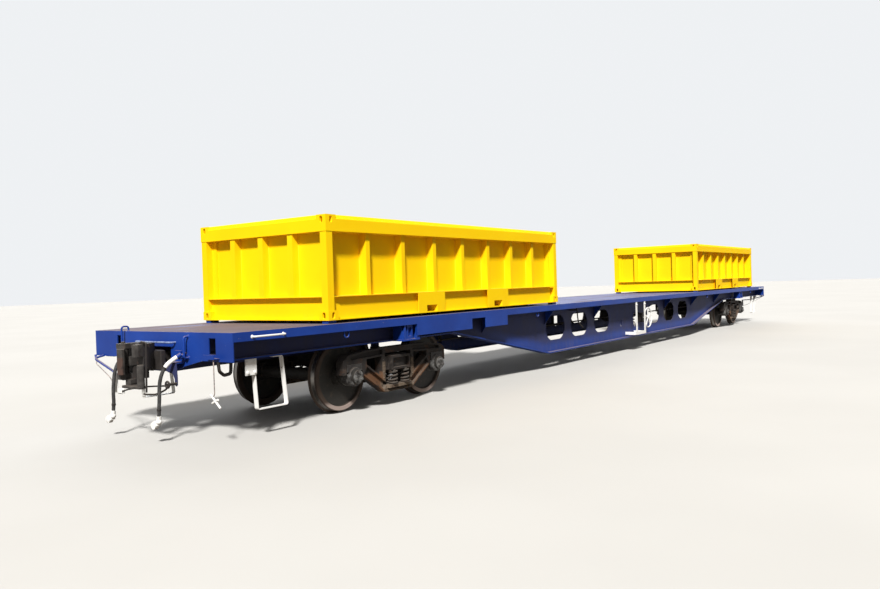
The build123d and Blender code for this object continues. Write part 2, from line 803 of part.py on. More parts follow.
# Couplers: head with guard arm, shank and pivot eye; the knuckle is its own piece

shank_half_width = 65.0
shank_half_height = 75.0
knuckle_pin = (985.0, 140.0)
knuckle_pin_r = 21.0
knuckle_half = 140.0


def coupler_head():
    """Coupler in its own axes: X is the distance from the pivot to the pulling face."""
    shank = block(0, 730, -shank_half_width, shank_half_width, -shank_half_height, shank_half_height)
    eye = rod_z(0, 0, -shank_half_height, shank_half_height, 95)
    horn_line = [(664, -65), (664, 65), (715, 190), (800, 222), (800, -290), (742, -290), (690, -175)]
    horn = slab_z(horn_line, -105, 105)
    horn = fillet(horn.edges().filter_by(Axis.Z), 12)
    boss = slab_z([(850, -110), (1000, -110), (1010, 60), (870, 90)], -245, -200)
    plan = [
        (775, 148), (820, 205), (1010, 215), (1040, 190), (1045, 110), (1000, 75), (930, 70), (915, 20),
        (915, -80), (945, -130), (1040, -175), (1095, -205), (1100, -255), (1060, -275), (900, -235),
        (775, -148),
    ]
    head = slab_z(plan, -205, 195)
    head = fillet(head.edges().filter_by(Axis.Z), 12)
    reach = knuckle_half + seat_gap
    pocket = slab_z([(840, 60), (1060, 60), (1060, 240), (890, 240)], -reach, reach)
    tail = slab_z([(800, 110), (800, 0), (850, -70), (960, -70), (960, 110)], -60, 60)
    coupler = fuse([shank, eye, horn, head, boss]) - pocket - tail
    coupler -= rod_z(0, 0, -100, 100, 38 + running_gap)
    pin = rod_z(*knuckle_pin, -215, 215, knuckle_pin_r)
    return fuse([coupler, pin])


def coupler_knuckle():
    px, py = knuckle_pin
    nose = slab_z([(px - 20, py - 50), (px + 20, py - 60), (px + 75, py - 150), (px + 115, py - 150),
                   (px + 115, py - 60), (px + 62, py + 20), (px + 20, py + 55), (px - 30, py + 45)],
                  -knuckle_half, knuckle_half)
    nose = fillet(nose.edges().filter_by(Axis.Z), 14)
    hub = rod_z(px, py, -knuckle_half, knuckle_half, 58)
    tail = slab_z([(px - 40, py - 55), (px - 130, py - 90), (px - 120, py - 130), (px - 20, py - 100),
                   (px + 20, py - 40)], -50, 50)
    return fuse([hub, nose, tail]) - rod_z(px, py, -200, 200, knuckle_pin_r + running_gap)


near_coupler_place = Pos(-coupler_pivot, 0, coupler_z) * Rot(0, 0, 180)
parts["near_coupler"] = placed(near_coupler_place, mirrored_y(coupler_head()))
parts["near_knuckle"] = placed(near_coupler_place, mirrored_y(coupler_knuckle()))
parts["far_coupler"] = turned(parts["near_coupler"])
parts["far_knuckle"] = turned(parts["near_knuckle"])

# Sill steps at the four corners: a bent flat bar on a bolted plate

step_bar = 60.0
step_thick = 10.0
step_y = -girder_y - 60
step_tread_z = 319.0
# Distances from the deck's end
step_outer_top = 445.0
step_outer_foot = 484.0
step_inner_foot = 922.0
step_inner_top = 860.0
step_hook = 720.0
step_plate = (313.0, 466.0)


def sill_step():
    """The near right step: legs that spread downward and a level tread."""
    top = girder_shallow_z - step_thick / 2
    end = -half_deck
    path = [(step_outer_top, top), (step_outer_foot, step_tread_z), (step_inner_foot, step_tread_z),
            (step_inner_top, top), (step_hook, top)]
    hoop = flat_hoop([Vector(end + x, step_y, z) for x, z in path], step_bar, step_thick, 22.0, (0, 1, 0))
    foot = block(end + step_outer_top - 10, end + step_outer_top + 10, step_y - step_bar / 2,
                 step_y + step_bar / 2, top - 20, girder_shallow_z)
    plate = block(end + step_plate[0], end + step_plate[1], step_y - 42, step_y - 30, 715, girder_shallow_z)
    return fuse([hoop, foot, plate])


def four_corners(piece):
    """A near right piece with its copies at the other three corners."""
    return [piece, mirrored_y(piece), turned(piece), turned(mirrored_y(piece))]


parts["sill_steps"] = together(four_corners(sill_step()))

# Grab rails: on the deck edge at the corners and on each headstock

rail_r = 11.0
rail_stand = 45.0
side_rail_back = (260.0, 700.0)


def rail_bar(points):
    return bent_bar([Vector(p) for p in points], rail_r, 24.0)


def side_rail():
    y0, y1 = -half_width, -half_width - rail_stand
    x0, x1 = (back - half_deck for back in side_rail_back)
    z = deck_top - 57
    return rail_bar([(x0, y0, z), (x0, y1, z), (x1, y1, z), (x1, y0, z)])


def headstock_rails():
    x0, x1 = -half_deck, -half_deck - rail_stand - 15
    level = rail_bar([(x0, 370, 1093), (x1, 370, 1093), (x1, -330, 1093), (x0, -330, 1093)])
    right = rail_bar([(x0, -565, 926), (x1, -565, 926), (x1, -565, 1161), (x0, -565, 1161)])
    left = rail_bar([(x0, 640, 1049), (x1, 640, 1049), (x1, 640, 1264), (x0 + 30, 640, 1264),
                     (x0 + 30, 640, deck_top)])
    return [level, right, left]


end_rails = headstock_rails()
parts["grab_rails"] = together(four_corners(side_rail()) + end_rails + [turned(rail) for rail in end_rails])

# Hand brake: a hung frame with a foot step, a gear box on the girder and the wheel

brake_bar_x = (-410.0, 90.0)
brake_bar_low = 380.0
brake_y = -half_width + 4
brake_wheel_x = 420.0
brake_wheel_z = 716.0
brake_wheel_r = 240.0
brake_wheel_y = -half_width + 60
brake_gear_y = -girder_y - girder_web / 2 - 110.0
lever_y = -half_width + 137


def hand_brake_frame():
    top = deck_top - edge_depth
    bars = [block(x - 35, x + 35, brake_y, brake_y + 12, brake_bar_low, top) for x in brake_bar_x]
    flange_edge = -girder_y - girder_flange_width / 2
    x0, x1 = brake_bar_x[0] - 35, brake_bar_x[1] + 35
    tread = block(x0, x1, brake_y, flange_edge, brake_bar_low - 12, brake_bar_low)
    kick = block(x0, x1, brake_y, brake_y + 8, brake_bar_low, brake_bar_low + 60)
    web_face = -girder_y - girder_web / 2
    stays = [block(x - 6, x + 6, brake_y + 12, web_face, brake_bar_low - 12, brake_bar_low + 50)
             for x in brake_bar_x]
    return fuse(bars + [tread, kick] + stays)


def hand_brake_wheel():
    rim = Pos(brake_wheel_x, brake_wheel_y, brake_wheel_z) * Rot(90, 0, 0) * Torus(brake_wheel_r - 14, 14)
    hub = rod_y(brake_wheel_x, brake_wheel_y - 28, brake_wheel_y + 28, brake_wheel_z, 42)
    spokes = []
    for k in range(5):
        a = 2 * pi * k / 5 + pi / 2
        x, z = (brake_wheel_r - 14) * cos(a), (brake_wheel_r - 14) * sin(a)
        path = Polyline(Vector(brake_wheel_x, brake_wheel_y, brake_wheel_z),
                        Vector(brake_wheel_x + x, brake_wheel_y, brake_wheel_z + z))
        spokes.append(sweep(Plane(path @ 0, z_dir=path % 0) * Rectangle(34, 16), path))
    spindle = rod_y(brake_wheel_x, brake_wheel_y + 28, brake_gear_y, brake_wheel_z, 17)
    return fuse([rim, hub, spindle] + spokes)


def hand_brake_gear():
    y1 = -girder_y - girder_web / 2
    x, z = brake_wheel_x, brake_wheel_z
    box = block(x - 80, x + 80, brake_gear_y, y1, z - 110, z + 110)
    return fillet(box.edges().filter_by(Axis.Y), 30)


def change_lever():
    """The lever in front of the second hole: a pivot on the web and a bent bar with its grip."""
    y = lever_y
    pivot = rod_y(-3200, y, -girder_y - girder_web / 2, 1060, 16)
    bar = bent_bar([Vector(-3206, y, 1096), Vector(-3155, y, 815), Vector(-2945, y, 695)], 12.0, 40.0)
    return fuse([pivot, bar])


parts["hand_brake_frame"] = hand_brake_frame()
parts["hand_brake_wheel"] = hand_brake_wheel()
parts["hand_brake_gear"] = together([hand_brake_gear(), change_lever()])

# Air brake gear between the girders

bearer_low = deck_under - bearer_depth
tank_y = 240.0
rod_z0 = 702.0
pull_r = 16.0
pull_y = (-200.0, -70.0)


def brake_cylinder():
    y = tank_y
    body = rod_x(-2900, -2380, y, 700, 165)
    cap = rod_x(-2940, -2900, y, 700, 185)
    rod = rod_x(-2380, -2060 - seat_gap, y, rod_z0, 26)
    foot = block(-2900, -2420, y - 120, y + 120, 850, deck_under)
    foot -= block(-2880, -2440, y - 100, y + 100, 880, deck_under + 5)
    return fuse([body, cap, rod, foot])


def air_reservoir():
    y = tank_y
    tank = rod_x(1500, 2700, y, 740, 190)
    straps = [block(x - 30, x + 30, y - 70, y + 70, 900, deck_under) for x in (1750, 2450)]
    return fuse([tank] + straps)


def brake_rods():
    """Lever at the cylinder, pull rods to both bogies and the hangers that they slide in."""
    lever = block(-2060, -1990, -260, 300, rod_z0 - 14, rod_z0 + 14)
    pulls = [rod_x(-7300, -2060 - seat_gap, pull_y[0], rod_z0, pull_r),
             rod_x(-1990 + seat_gap, 7300, pull_y[1], rod_z0, pull_r)]
    hangers = []
    near_hangers = [(x, pull_y[0]) for x in (-6450, -4300)]
    far_hangers = [(x, pull_y[1]) for x in (4300, 6450, 0)]
    for x, y in near_hangers + far_hangers:
        plate = block(x - 5, x + 5, y - 32, y + 32, rod_z0 - 32, bearer_low)
        hangers.append(plate - rod_x(x - 10, x + 10, y, rod_z0, pull_r + running_gap))
    stay = block(-2045, -2005, -60, -20, rod_z0 + 14, deck_under)
    return together([fuse([lever, stay])] + pulls + hangers)


def train_pipe(y_end):
    """An air pipe between the headstocks, inboard of the wheels."""
    return rod_x(-cock_x, cock_x, y_end, pipe_z, pipe_r)


def angle_cock(y_end, route):
    """The end cock at the near headstock: body, handle and the nipple that the hose fits on."""
    exit_point, next_point = Vector(route[0]), Vector(route[1])
    nipple = extrude(Plane(exit_point, z_dir=exit_point - next_point) * Circle(hose_r + 3), amount=52)
    body = rod_x(-cock_x, -cock_end + 32, y_end, pipe_z, 32)
    bore = rod_x(-cock_x, -half_deck, y_end, pipe_z, pipe_r + seat_gap)
    flange = rod_x(-cock_x, -half_deck, y_end, pipe_z, 44) - bore
    stem = rod_z(-half_deck - 62, y_end, pipe_z + 20, pipe_z + 60, 14)
    side = 1 if y_end > 0 else -1
    handle = block(-half_deck - 74, -half_deck - 50, y_end + side * 20, y_end - side * 95,
                   pipe_z + 52, pipe_z + 66)
    return fuse([body, nipple, flange, stem, handle])


parts["brake_cylinder"] = brake_cylinder()
parts["air_reservoir"] = air_reservoir()
parts["brake_rods"] = brake_rods()
parts["air_pipes"] = together([train_pipe(brake_pipe_y), train_pipe(main_pipe_y)])

# Hoses that hang from the near cocks, each with its glad-hand; turns are spread over many points

hose_r = 20.0
hose_lines = {
    # distance beyond the headstock, across, up
    "brake_hose": [(110, brake_pipe_y, pipe_z), (178, -468, 896), (232, -440, 826), (264, -422, 737),
                   (276, -408, 626), (274, -402, 504), (280, -396, 398), (276, -384, 312)],
    "main_hose": [(110, main_pipe_y, pipe_z), (178, 500, 892), (230, 494, 818), (260, 492, 728),
                  (270, 500, 618), (272, 508, 498), (266, 510, 396), (270, 522, 308)],
}
hose_routes = {name: [(-half_deck - out, y, z) for out, y, z in line] for name, line in hose_lines.items()}


def corner_radii(points):
    """Each bend takes 0.45 of its shorter run over the tangent of half the turn."""
    vectors = [Vector(p) for p in points]
    radii = []
    for a, b, c in zip(vectors, vectors[1:], vectors[2:]):
        turn = radians((b - a).get_angle(c - b))
        radii.append(0.45 * min((b - a).length, (c - b).length) / tan(turn / 2))
    return radii


def hose(points):
    radii = corner_radii(points)
    path = FilletPolyline(*[Vector(p) for p in points], radius=radii)
    tube = sweep(Plane(path @ 0, z_dir=path % 0) * Circle(hose_r), path)
    print("hose radii", [round(r) for r in radii], "length", round(path.length),
          "volume ratio", round(tube.volume / (pi * hose_r ** 2 * path.length), 4))
    return tube


def glad_hand(points, side):
    """The coupling head at the foot of a hose: a collar, an elbow body and its face disc."""
    x, y, z = points[-1]
    drop = (Vector(points[-1]) - Vector(points[-2])).normalized()
    collar_plane = Plane((x, y, z), z_dir=drop)
    collar = extrude(collar_plane * Circle(hose_r + 6), amount=44)
    foot = Vector(x, y, z) + drop * 44
    body = Pos(foot.X, foot.Y, foot.Z - 18) * Sphere(33)
    arm = block(foot.X - 24, foot.X + 24, foot.Y, foot.Y + side * 62, foot.Z - 62, foot.Z - 14)
    disc = rod_x(foot.X - 34, foot.X + 14, foot.Y + side * 62, foot.Z - 62, 42)
    return fuse([collar, body, arm, disc])


near_cocks = [angle_cock(route[0][1], route) for route in hose_routes.values()]
far_cocks = [turned(mirrored_y(cock)) for cock in near_cocks]
parts["angle_cocks"] = together(near_cocks + far_cocks)
for name, points in hose_routes.items():
    parts[name] = hose(points)
parts["glad_hands"] = together([glad_hand(route, 1) for route in hose_routes.values()])

# Uncoupling gear: a hung bracket, a cross bar under the coupler with its handle, a lever loop and a pull

lever_r = 11.0
ring_y = -500.0
ring_z = 650.0
bar_x = -half_deck - 210.0
loop_x = -half_deck - 226.0
pull_x = -half_deck - 50.0
pull_hang_y = -1058.0


def uncoupling_gear():
    face = -half_deck
    outline = [(-560, 890), (-432, 890), (-450, 700), (-470, 625), (-530, 625), (-555, 700)]
    bracket = slab_x(outline, face - 22, face)
    ring = rod_x(loop_x - 14, face, ring_y, ring_z, 24)
    cross = [(ring_y, ring_z), (-440, 636), (-240, 622), (20, 610), (300, 570), (480, 545)]
    cross_bar = bent_bar([Vector(bar_x, y, z) for y, z in cross], lever_r, 40.0)
    handle = block(bar_x - 6, bar_x + 6, 470, 500, 500, 700)
    loop = [(ring_y, ring_z), (-455, 600), (-369, 556), (-246, 545), (-28, 552), (-28, 636)]
    lever_loop = bent_bar([Vector(loop_x, y, z) for y, z in loop], lever_r, 22.0)
    return fuse([bracket, ring, cross_bar, handle, lever_loop])


def hanging_pull():
    """A thin rod that hangs from the lamp ledge, with its tilted grip."""
    rod = rod_z(pull_x, pull_hang_y, 500, lamp_ledge_z, 6)
    path = Polyline(Vector(pull_x, -1000, 558), Vector(pull_x, -1141, 410))
    grip = sweep(Plane(path @ 0, z_dir=path % 0) * Circle(14), path)
    bar = rod_y(pull_x, -1100, -1010, 508, 9)
    return fuse([rod, grip, bar])


near_gear = [uncoupling_gear(), hanging_pull()]
parts["uncoupling_gear"] = together(near_gear + [turned(piece) for piece in near_gear])

# Lashing rings under the deck edge

ring_x = (-9892.0, -5000.0)


def lashing_ring(x):
    y, top = -half_width + 32, deck_top - edge_depth
    low = top - 80
    line = [(x - 40, top), (x - 40, low), (x + 40, low), (x + 40, top)]
    return bent_bar([Vector(a, y, z) for a, z in line], 9.0, 26.0)


rings = []
for x in ring_x:
    rings += four_corners(lashing_ring(x))
parts["lashing_rings"] = together(rings)

os.makedirs("parts", exist_ok=True)
for node, shape in parts.items():
    export_step(shape, f"parts/{node}.step")
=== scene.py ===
from math import ceil, cos, pi, radians, sin

import bmesh
import bpy
import numpy as np
from mathutils import Matrix, Vector


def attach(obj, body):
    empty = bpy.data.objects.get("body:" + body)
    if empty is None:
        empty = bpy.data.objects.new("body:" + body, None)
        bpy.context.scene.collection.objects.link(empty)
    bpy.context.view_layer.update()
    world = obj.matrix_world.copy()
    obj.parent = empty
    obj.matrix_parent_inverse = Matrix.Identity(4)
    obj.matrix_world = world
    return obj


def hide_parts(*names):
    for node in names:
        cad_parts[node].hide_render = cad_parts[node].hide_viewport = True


bl_info = {
    "name": "Container flat wagon",
    "version": (1, 0, 0),
    "blender": (4, 5, 0),
    "location": "3D View > Sidebar > Wagon",
    "description": "Dresses the packed flat wagon and its two bins: paint, springs, hoses, bolts and welds",
    "category": "Add Mesh",
}

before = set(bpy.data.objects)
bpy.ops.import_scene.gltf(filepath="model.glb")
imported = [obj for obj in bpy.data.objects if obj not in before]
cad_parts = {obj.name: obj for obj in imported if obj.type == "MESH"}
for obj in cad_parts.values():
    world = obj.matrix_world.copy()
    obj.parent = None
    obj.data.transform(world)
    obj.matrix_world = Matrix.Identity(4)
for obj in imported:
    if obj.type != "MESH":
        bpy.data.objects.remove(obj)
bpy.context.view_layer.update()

# The wagon's ends and the sign of their x; near is the -X end, and right is the -Y side
ends = (("near", -1), ("far", 1))

# Places that the CAD gives, in metres
bogie_x = 8.620
half_wheelbase = 0.895
axle_z = 0.488
tread_r = 0.460
rim_inner_r = 0.395
wheel_faces = (0.728, 0.810)
half_deck = 11.650
half_width = 1.322
deck_top = 1.208
deck_under = 1.108

# The girders: their flanges' edge, and half the lower line as (distance from the middle, height)
girder_edge = 1.085
belly_knee = (4.270, 0.320)
belly_end = (7.300, 0.912)
girder_weld_sides = (1.024, 1.036)

# The bins: their centres, feet and floor, the ribs' feet and heads, and the walls' faces with their ribs
bin_centres = (-7.091, 7.420)
bin_z = 1.248
bin_floor = 1.560
rib_foot = bin_z + 0.296
rib_head = bin_z + 1.094
side_wall = 1.035
side_wall_half = 2.880
side_rib_pitch = 0.735
side_rib_half = 0.0375
end_wall = 2.907
end_wall_half = 1.105
end_rib_pitch = 0.560
end_rib_half = 0.046

# The camera that the photograph was taken with, worked out from the wagon's own corners
camera_spot = (-16.688, -7.667, 1.645)
camera_yaw = radians(35.98)
camera_pitch = radians(-0.77)
camera_roll = radians(-1.84)
camera_lens = 30.67
sensor_width = 36.0
camera_reach = 500.0

# The main lamp's energy and colour, and where it stands: turned from -X towards -Y, and above the horizon
lamp_energy = 5.8
lamp_colour = (1.0, 0.975, 0.93)
lamp_turn = radians(34)
lamp_rise = radians(42.5)

# The fill lamp's energy, width, colour and direction
fill_energy = 1.75
fill_width = radians(60)
fill_colour = (0.94, 0.97, 1.0)
fill_from = (0.72, 0.60, 0.36)

# What the camera sees of the floor and the backdrop, and the colours that they light the wagon with
floor_half = 160.0
floor_light = (0.105, 0.088, 0.070)
floor_seen = ((0.530, 0.525, 0.512), (0.556, 0.551, 0.538))
sky_light = (1.0, 0.94, 0.86)
sky_strength = 0.28
sky_seen = (0.86, 0.88, 0.90)

# The hoses' centre lines, the same points as in the CAD
hose_bore_r = 0.020
hose_lines = {
    "brake_hose": (0.705, (
        (-11.760, -0.505, 0.943), (-11.828, -0.468, 0.896), (-11.882, -0.440, 0.826),
        (-11.914, -0.422, 0.737), (-11.926, -0.408, 0.626), (-11.924, -0.402, 0.504),
        (-11.930, -0.396, 0.398), (-11.926, -0.384, 0.312),
    )),
    "main_hose": (0.691, (
        (-11.760, 0.505, 0.943), (-11.828, 0.500, 0.892), (-11.880, 0.494, 0.818),
        (-11.910, 0.492, 0.728), (-11.920, 0.500, 0.618), (-11.922, 0.508, 0.498),
        (-11.916, 0.510, 0.396), (-11.920, 0.522, 0.308),
    )),
}

# How far the white sleeve at each hose's top reaches; how far past it the top clamp sits, and where the foot
# clamp sits, as parts of the hose's length; and how far sleeve and clamps stand proud
hose_sleeves = {"brake_hose": 0.165, "main_hose": 0.050}
clamp_past_sleeve = 0.015
foot_clamp_share = 0.93
sleeve_wall = 0.0035
clamp_wall = 0.004

# Spring nests in each bogie, about the bogie's centre; the inner coils, and the seat under each nest
spring_spots = [(sx * 0.125, sy * (0.990 + dy)) for sx in (-1, 1) for sy in (-1, 1) for dy in (-0.070, 0.070)]
spring_low = 0.300
spring_high = 0.500
inner_bar = 0.008
inner_radius = 0.037
seat_r = 0.068
seat_top = 0.004

# Each end of a coil lies flat for this part of a turn, and climbs by this part of its bar. The outer and the
# inner coils have so many turns more than the working ones, drawn with so many points a turn.
flat_turn = 0.9
flat_climb = 0.9
outer_more = 1.5
inner_more = 3.0
turn_points = 18

# The friction wedges, as (distance from the bogie's centre, height), and how far out they reach
wedge_outline = [(0.205, 0.500), (0.2797, 0.500), (0.2797, 0.645), (0.262, 0.645)]
wedge_sides = (0.940, 1.040)

# Bearings: the cups' outer face, the end caps' face, the sections of ring and cover as (radius, height), and
# the locking plate and bolts on each cap
bearing_out = 1.070
cap_face = 1.119
bearing_ring = [(0.076, -0.002), (0.119, -0.002), (0.121, 0.004), (0.116, 0.011), (0.104, 0.0135),
                (0.076, 0.0135)]
cap_cover = [(0, -0.002), (0.090, -0.002), (0.0905, 0.002), (0.086, 0.008), (0.060, 0.0110), (0, 0.0115)]
cap_plate_r = 0.072
cap_plate_lift = 0.010
cap_bolt = (0.018, 0.020)
cap_bolt_circle = 0.054
cap_bolt_lift = 0.013

# How round each casting's edges are, as shares of the size in the panel
edge_shares = {"coupler": 1.6, "knuckle": 2.0, "side_frames": 1.0, "bolster": 1.0, "brake_beams": 0.7,
               "bearings": 1.4}

# Angles in degrees: faces that meet at more are drawn sharp, and edges at more are rounded. Then what is
# merged or dissolved in a copy of a CAD node.
piece_sharp, piece_round = 38, 35
casting_sharp, casting_round = 40, 32
merge_distance = 0.00001
dissolve_angle = 1

# The couplers' axis height, and what is cut from the head's lower half, its heel and the guard arm's tip, as
# (distance along the wagon, height from the axis), between two distances from the wagon's middle plane
coupler_z = 0.903
head_heel = [(11.700, -0.112), (11.860, -0.112), (11.860, -0.078), (12.000, -0.078), (12.000, 0.062),
             (12.150, 0.062), (12.150, -0.330), (11.700, -0.330)]
head_heel_side = (0.020, 0.400)

# The column, the shelf and the web that stand there
column_place = (-12.030, -0.235, 0.0)
column_r = 0.040
column_low = 0.622
column_top = 0.876
shelf_low = 0.612
shelf_high = 0.640
shelf_outline = [(-12.070, -0.255), (-12.034, -0.276), (-11.992, -0.262), (-11.992, -0.095),
                 (-11.930, -0.035), (-11.930, 0.100), (-12.062, 0.090), (-12.072, 0.060)]
shelf_web = ((-12.020, -0.014, 0.624), (-11.925, 0.085, 0.702))

# Grab rails: their bars as (radius, bend), the heads on their feet as (radius, height), how far they stand
# out, and the places of the side rail's feet and of the rails on the headstock
side_rail_bar = (0.011, 0.024)
headstock_bar = (0.011, 0.030)
side_rail_head = (0.021, 0.007)
headstock_head = (0.022, 0.008)
rail_stand = 0.045
headstock_stand = 0.060
side_rail_x = (-11.390, -10.950)
side_rail_z = 1.151
level_rail_y = (0.370, -0.330)
level_rail_z = 1.093
right_rail_y = -0.565
right_rail_z = (0.926, 1.161)
left_rail_y = 0.640
left_rail_z = (1.049, 1.264)
left_rail_back = 0.030

# Lashing rings under the deck's edge
lashing_x = (-9.892, -5.000)
lashing_y = -1.290
lashing_half = 0.040
lashing_drop = 0.080
lashing_bar = (0.009, 0.036)

# The uncoupling gear: its bracket's plate with the shelf above it, the pivot and eye on it, the planes of
# bar, lever and pull, and its bars as (radius, bend)
bracket_x = -11.760
bracket_half = 0.007
bracket_top = 0.879
bracket_outline = [(-0.270, 0.875), (-0.270, 0.805), (-0.340, 0.770), (-0.428, 0.756), (-0.458, 0.700),
                   (-0.460, 0.636), (-0.480, 0.618), (-0.502, 0.634), (-0.503, 0.720), (-0.490, 0.875)]
bracket_shelf_y = (-0.490, -0.270)
eye_y = -0.487
eye_z = 0.652
eye_r = 0.034
eye_bar_r = 0.011
pivot_r = 0.016
pivot_length = 0.118
cross_x = -11.860
loop_x = -11.876
pull_x = -11.700
pull_y = -1.058
cross_bar = (0.009, 0.060)
loop_bar = (0.0105, 0.030)
stay_bar = (0.015, 0.060)
brace_bar = (0.013, 0.020)
thin_bar = (0.0055, 0.050)
pull_bar = (0.006, 0.030)
grip_bar = (0.0125, 0.010)
lifter_bar = (0.0105, 0.022)

# The bent pipe behind the headstock
pipe_x = -11.450
pipe_bar = (0.019, 0.045)

# The hand brake's return spring: its place, ends, turns, radius and bar, and its rod and end plates
return_spring_place = (0.150, -0.950)
return_spring_ends = (0.560, 0.850)
return_spring_turns = 4.2
return_spring_r = 0.078
return_spring_bar = 0.011
return_rod_r = 0.010
return_plate_r = 0.088
return_plate = 0.008

# Fasteners on the steps' plates, the hand brake's bars, the brake cylinder's cap and the bogies' columns, the
# heads of some as (radius, height)
step_bolt_x = (-11.312, -11.210)
step_bolt_y = -1.132
step_bolt_z = (0.745, 0.860)
step_bolt_height = 0.014
brake_bolt_height = 0.012
brake_bolt_share = 0.9
brake_bolt_half = 0.018
brake_bar_x = (-0.410, 0.090)
brake_bolt_y = -1.318
brake_bolt_z = 1.045
cylinder_cap = (-2.940, 0.240, 0.700)
cylinder_bolt = (0.012, 0.012)
cylinder_bolt_circle = 0.168
column_rivet = (0.013, 0.008)
column_rivet_x = 0.312
column_rivet_y = 1.055
column_rivet_z = (0.400, 0.480, 0.560, 0.640)


class Field:
    """A number that varies over a surface: one socket of a finish's nodes. Sums, differences, products and
    quotients with other fields or plain numbers add Math nodes."""

    def __init__(self, finish, socket):
        self.finish = finish
        self.socket = socket

    def joined(self, operation, first, second):
        node = self.finish.add("ShaderNodeMath", {"operation": operation}, {0: first, 1: second})
        return Field(self.finish, node.outputs[0])

    def sign(operation):
        """An arithmetic sign's two methods: with this field first, and with it second."""
        return (lambda self, other: self.joined(operation, self, other),
                lambda self, other: self.joined(operation, other, self))

    __add__, __radd__ = sign("ADD")
    __sub__, __rsub__ = sign("SUBTRACT")
    __mul__, __rmul__ = sign("MULTIPLY")
    __truediv__, __rtruediv__ = sign("DIVIDE")
    __pow__, __rpow__ = sign("POWER")

    def __abs__(self):
        return self.joined("ABSOLUTE", self, 0.0)

    def most(self, other):
        return self.joined("MAXIMUM", self, other)

    def rise(self, low, high):
        """0 below low, 1 above high, and a smooth rise between them; high below low gives the fall."""
        node = self.finish.add(
            "ShaderNodeMapRange", {"interpolation_type": "SMOOTHSTEP"},
            {"Value": self, "From Min": low, "From Max": high},
        )
        return Field(self.finish, node.outputs[0])

    def band(self, low, high, soft):
        """1 between low and high, with soft edges."""
        return self.rise(low - soft, low) * self.rise(high + soft, high)


class Finish:
    """One procedural material on a Principled shader, its pattern read from object coordinates."""

    def __init__(self, name, specular):
        self.material = bpy.data.materials.new(name)
        self.material.use_nodes = True
        self.tree = self.material.node_tree
        self.shader = self.tree.nodes["Principled BSDF"]
        self.shader.inputs["Specular IOR Level"].default_value = specular
        self.place = self.add("ShaderNodeTexCoord").outputs["Object"]

    def add(self, kind, settings=None, sockets=None):
        """A node of that kind: its settings are set first, then the values or links of its sockets."""
        node = self.tree.nodes.new(kind)
        for name, value in (settings or {}).items():
            setattr(node, name, value)
        for key, value in (sockets or {}).items():
            self.feed(node.inputs[key], value)
        return node

    def feed(self, socket, value):
        if isinstance(value, Field):
            value = value.socket
        if isinstance(value, bpy.types.NodeSocket):
            self.tree.links.new(value, socket)
        elif socket.type == "RGBA":
            socket.default_value = (*value, 1.0)
        else:
            socket.default_value = value

    def axes(self):
        """The place on the surface as three fields, in metres."""
        node = self.add("ShaderNodeSeparateXYZ", sockets={0: self.place})
        return [Field(self, out) for out in node.outputs]

    def facing_up(self):
        """How far the surface faces the sky, from -1 to 1."""
        normal = self.add("ShaderNodeTexCoord").outputs["Normal"]
        return Field(self, self.add("ShaderNodeSeparateXYZ", sockets={0: normal}).outputs[2])

    def noise(self, scale, detail=3.0, stretch=(1.0, 1.0, 1.0), shift=(0.0, 0.0, 0.0), rough=0.55):
        """Cloudy noise from 0 to 1, its features about 1 / scale metres, drawn out where stretch is small."""
        where = self.add("ShaderNodeMapping",
                         sockets={"Vector": self.place, "Scale": stretch, "Location": shift})
        node = self.add(
            "ShaderNodeTexNoise", {"noise_dimensions": "3D"},
            {"Vector": where.outputs[0], "Scale": scale, "Detail": detail, "Roughness": rough},
        )
        return Field(self, node.outputs[0])

    def blend(self, mask, under, over):
        """The colour under, and over it the colour over where mask is 1."""
        node = self.add("ShaderNodeMix", {"data_type": "RGBA"}, {0: mask, 6: under, 7: over})
        return node.outputs[2]

    def relief(self, height, strength, depth):
        """The normal that a height field gives; depth is how tall a height of 1 stands, in metres."""
        node = self.add("ShaderNodeBump", sockets={"Height": height, "Strength": strength, "Distance": depth})
        return node.outputs[0]

    def wear(self, colour, roughness=None, normal=None, metallic=None):
        """Sets what varies over the surface, and gives the material."""
        names = ("Base Color", "Roughness", "Normal", "Metallic")
        for name, value in zip(names, (colour, roughness, normal, metallic)):
            if value is not None:
                self.feed(self.shader.inputs[name], value)
        return self.material


# Finishes

finishes = {}


def finish(name):
    """The material of that name, made once."""
    if name not in finishes:
        makers = {
            "blue": blue_paint, "deck": dusty_deck, "yellow": yellow_paint, "cast": bogie_casting,
            "bearing": bearing_steel, "white": white_paint, "rubber": hose_rubber, "gear": brake_gear_paint,
            "coupler": coupler_casting, "spring": spring_steel, "weld": weld_bead, "pale_highlight_rail": scuffed_highlight_rail,
            "galvanised": galvanised_steel,
        }
        finishes[name] = makers[name]()
    return finishes[name]


def colours():
    return bpy.context.scene.wagon_colours


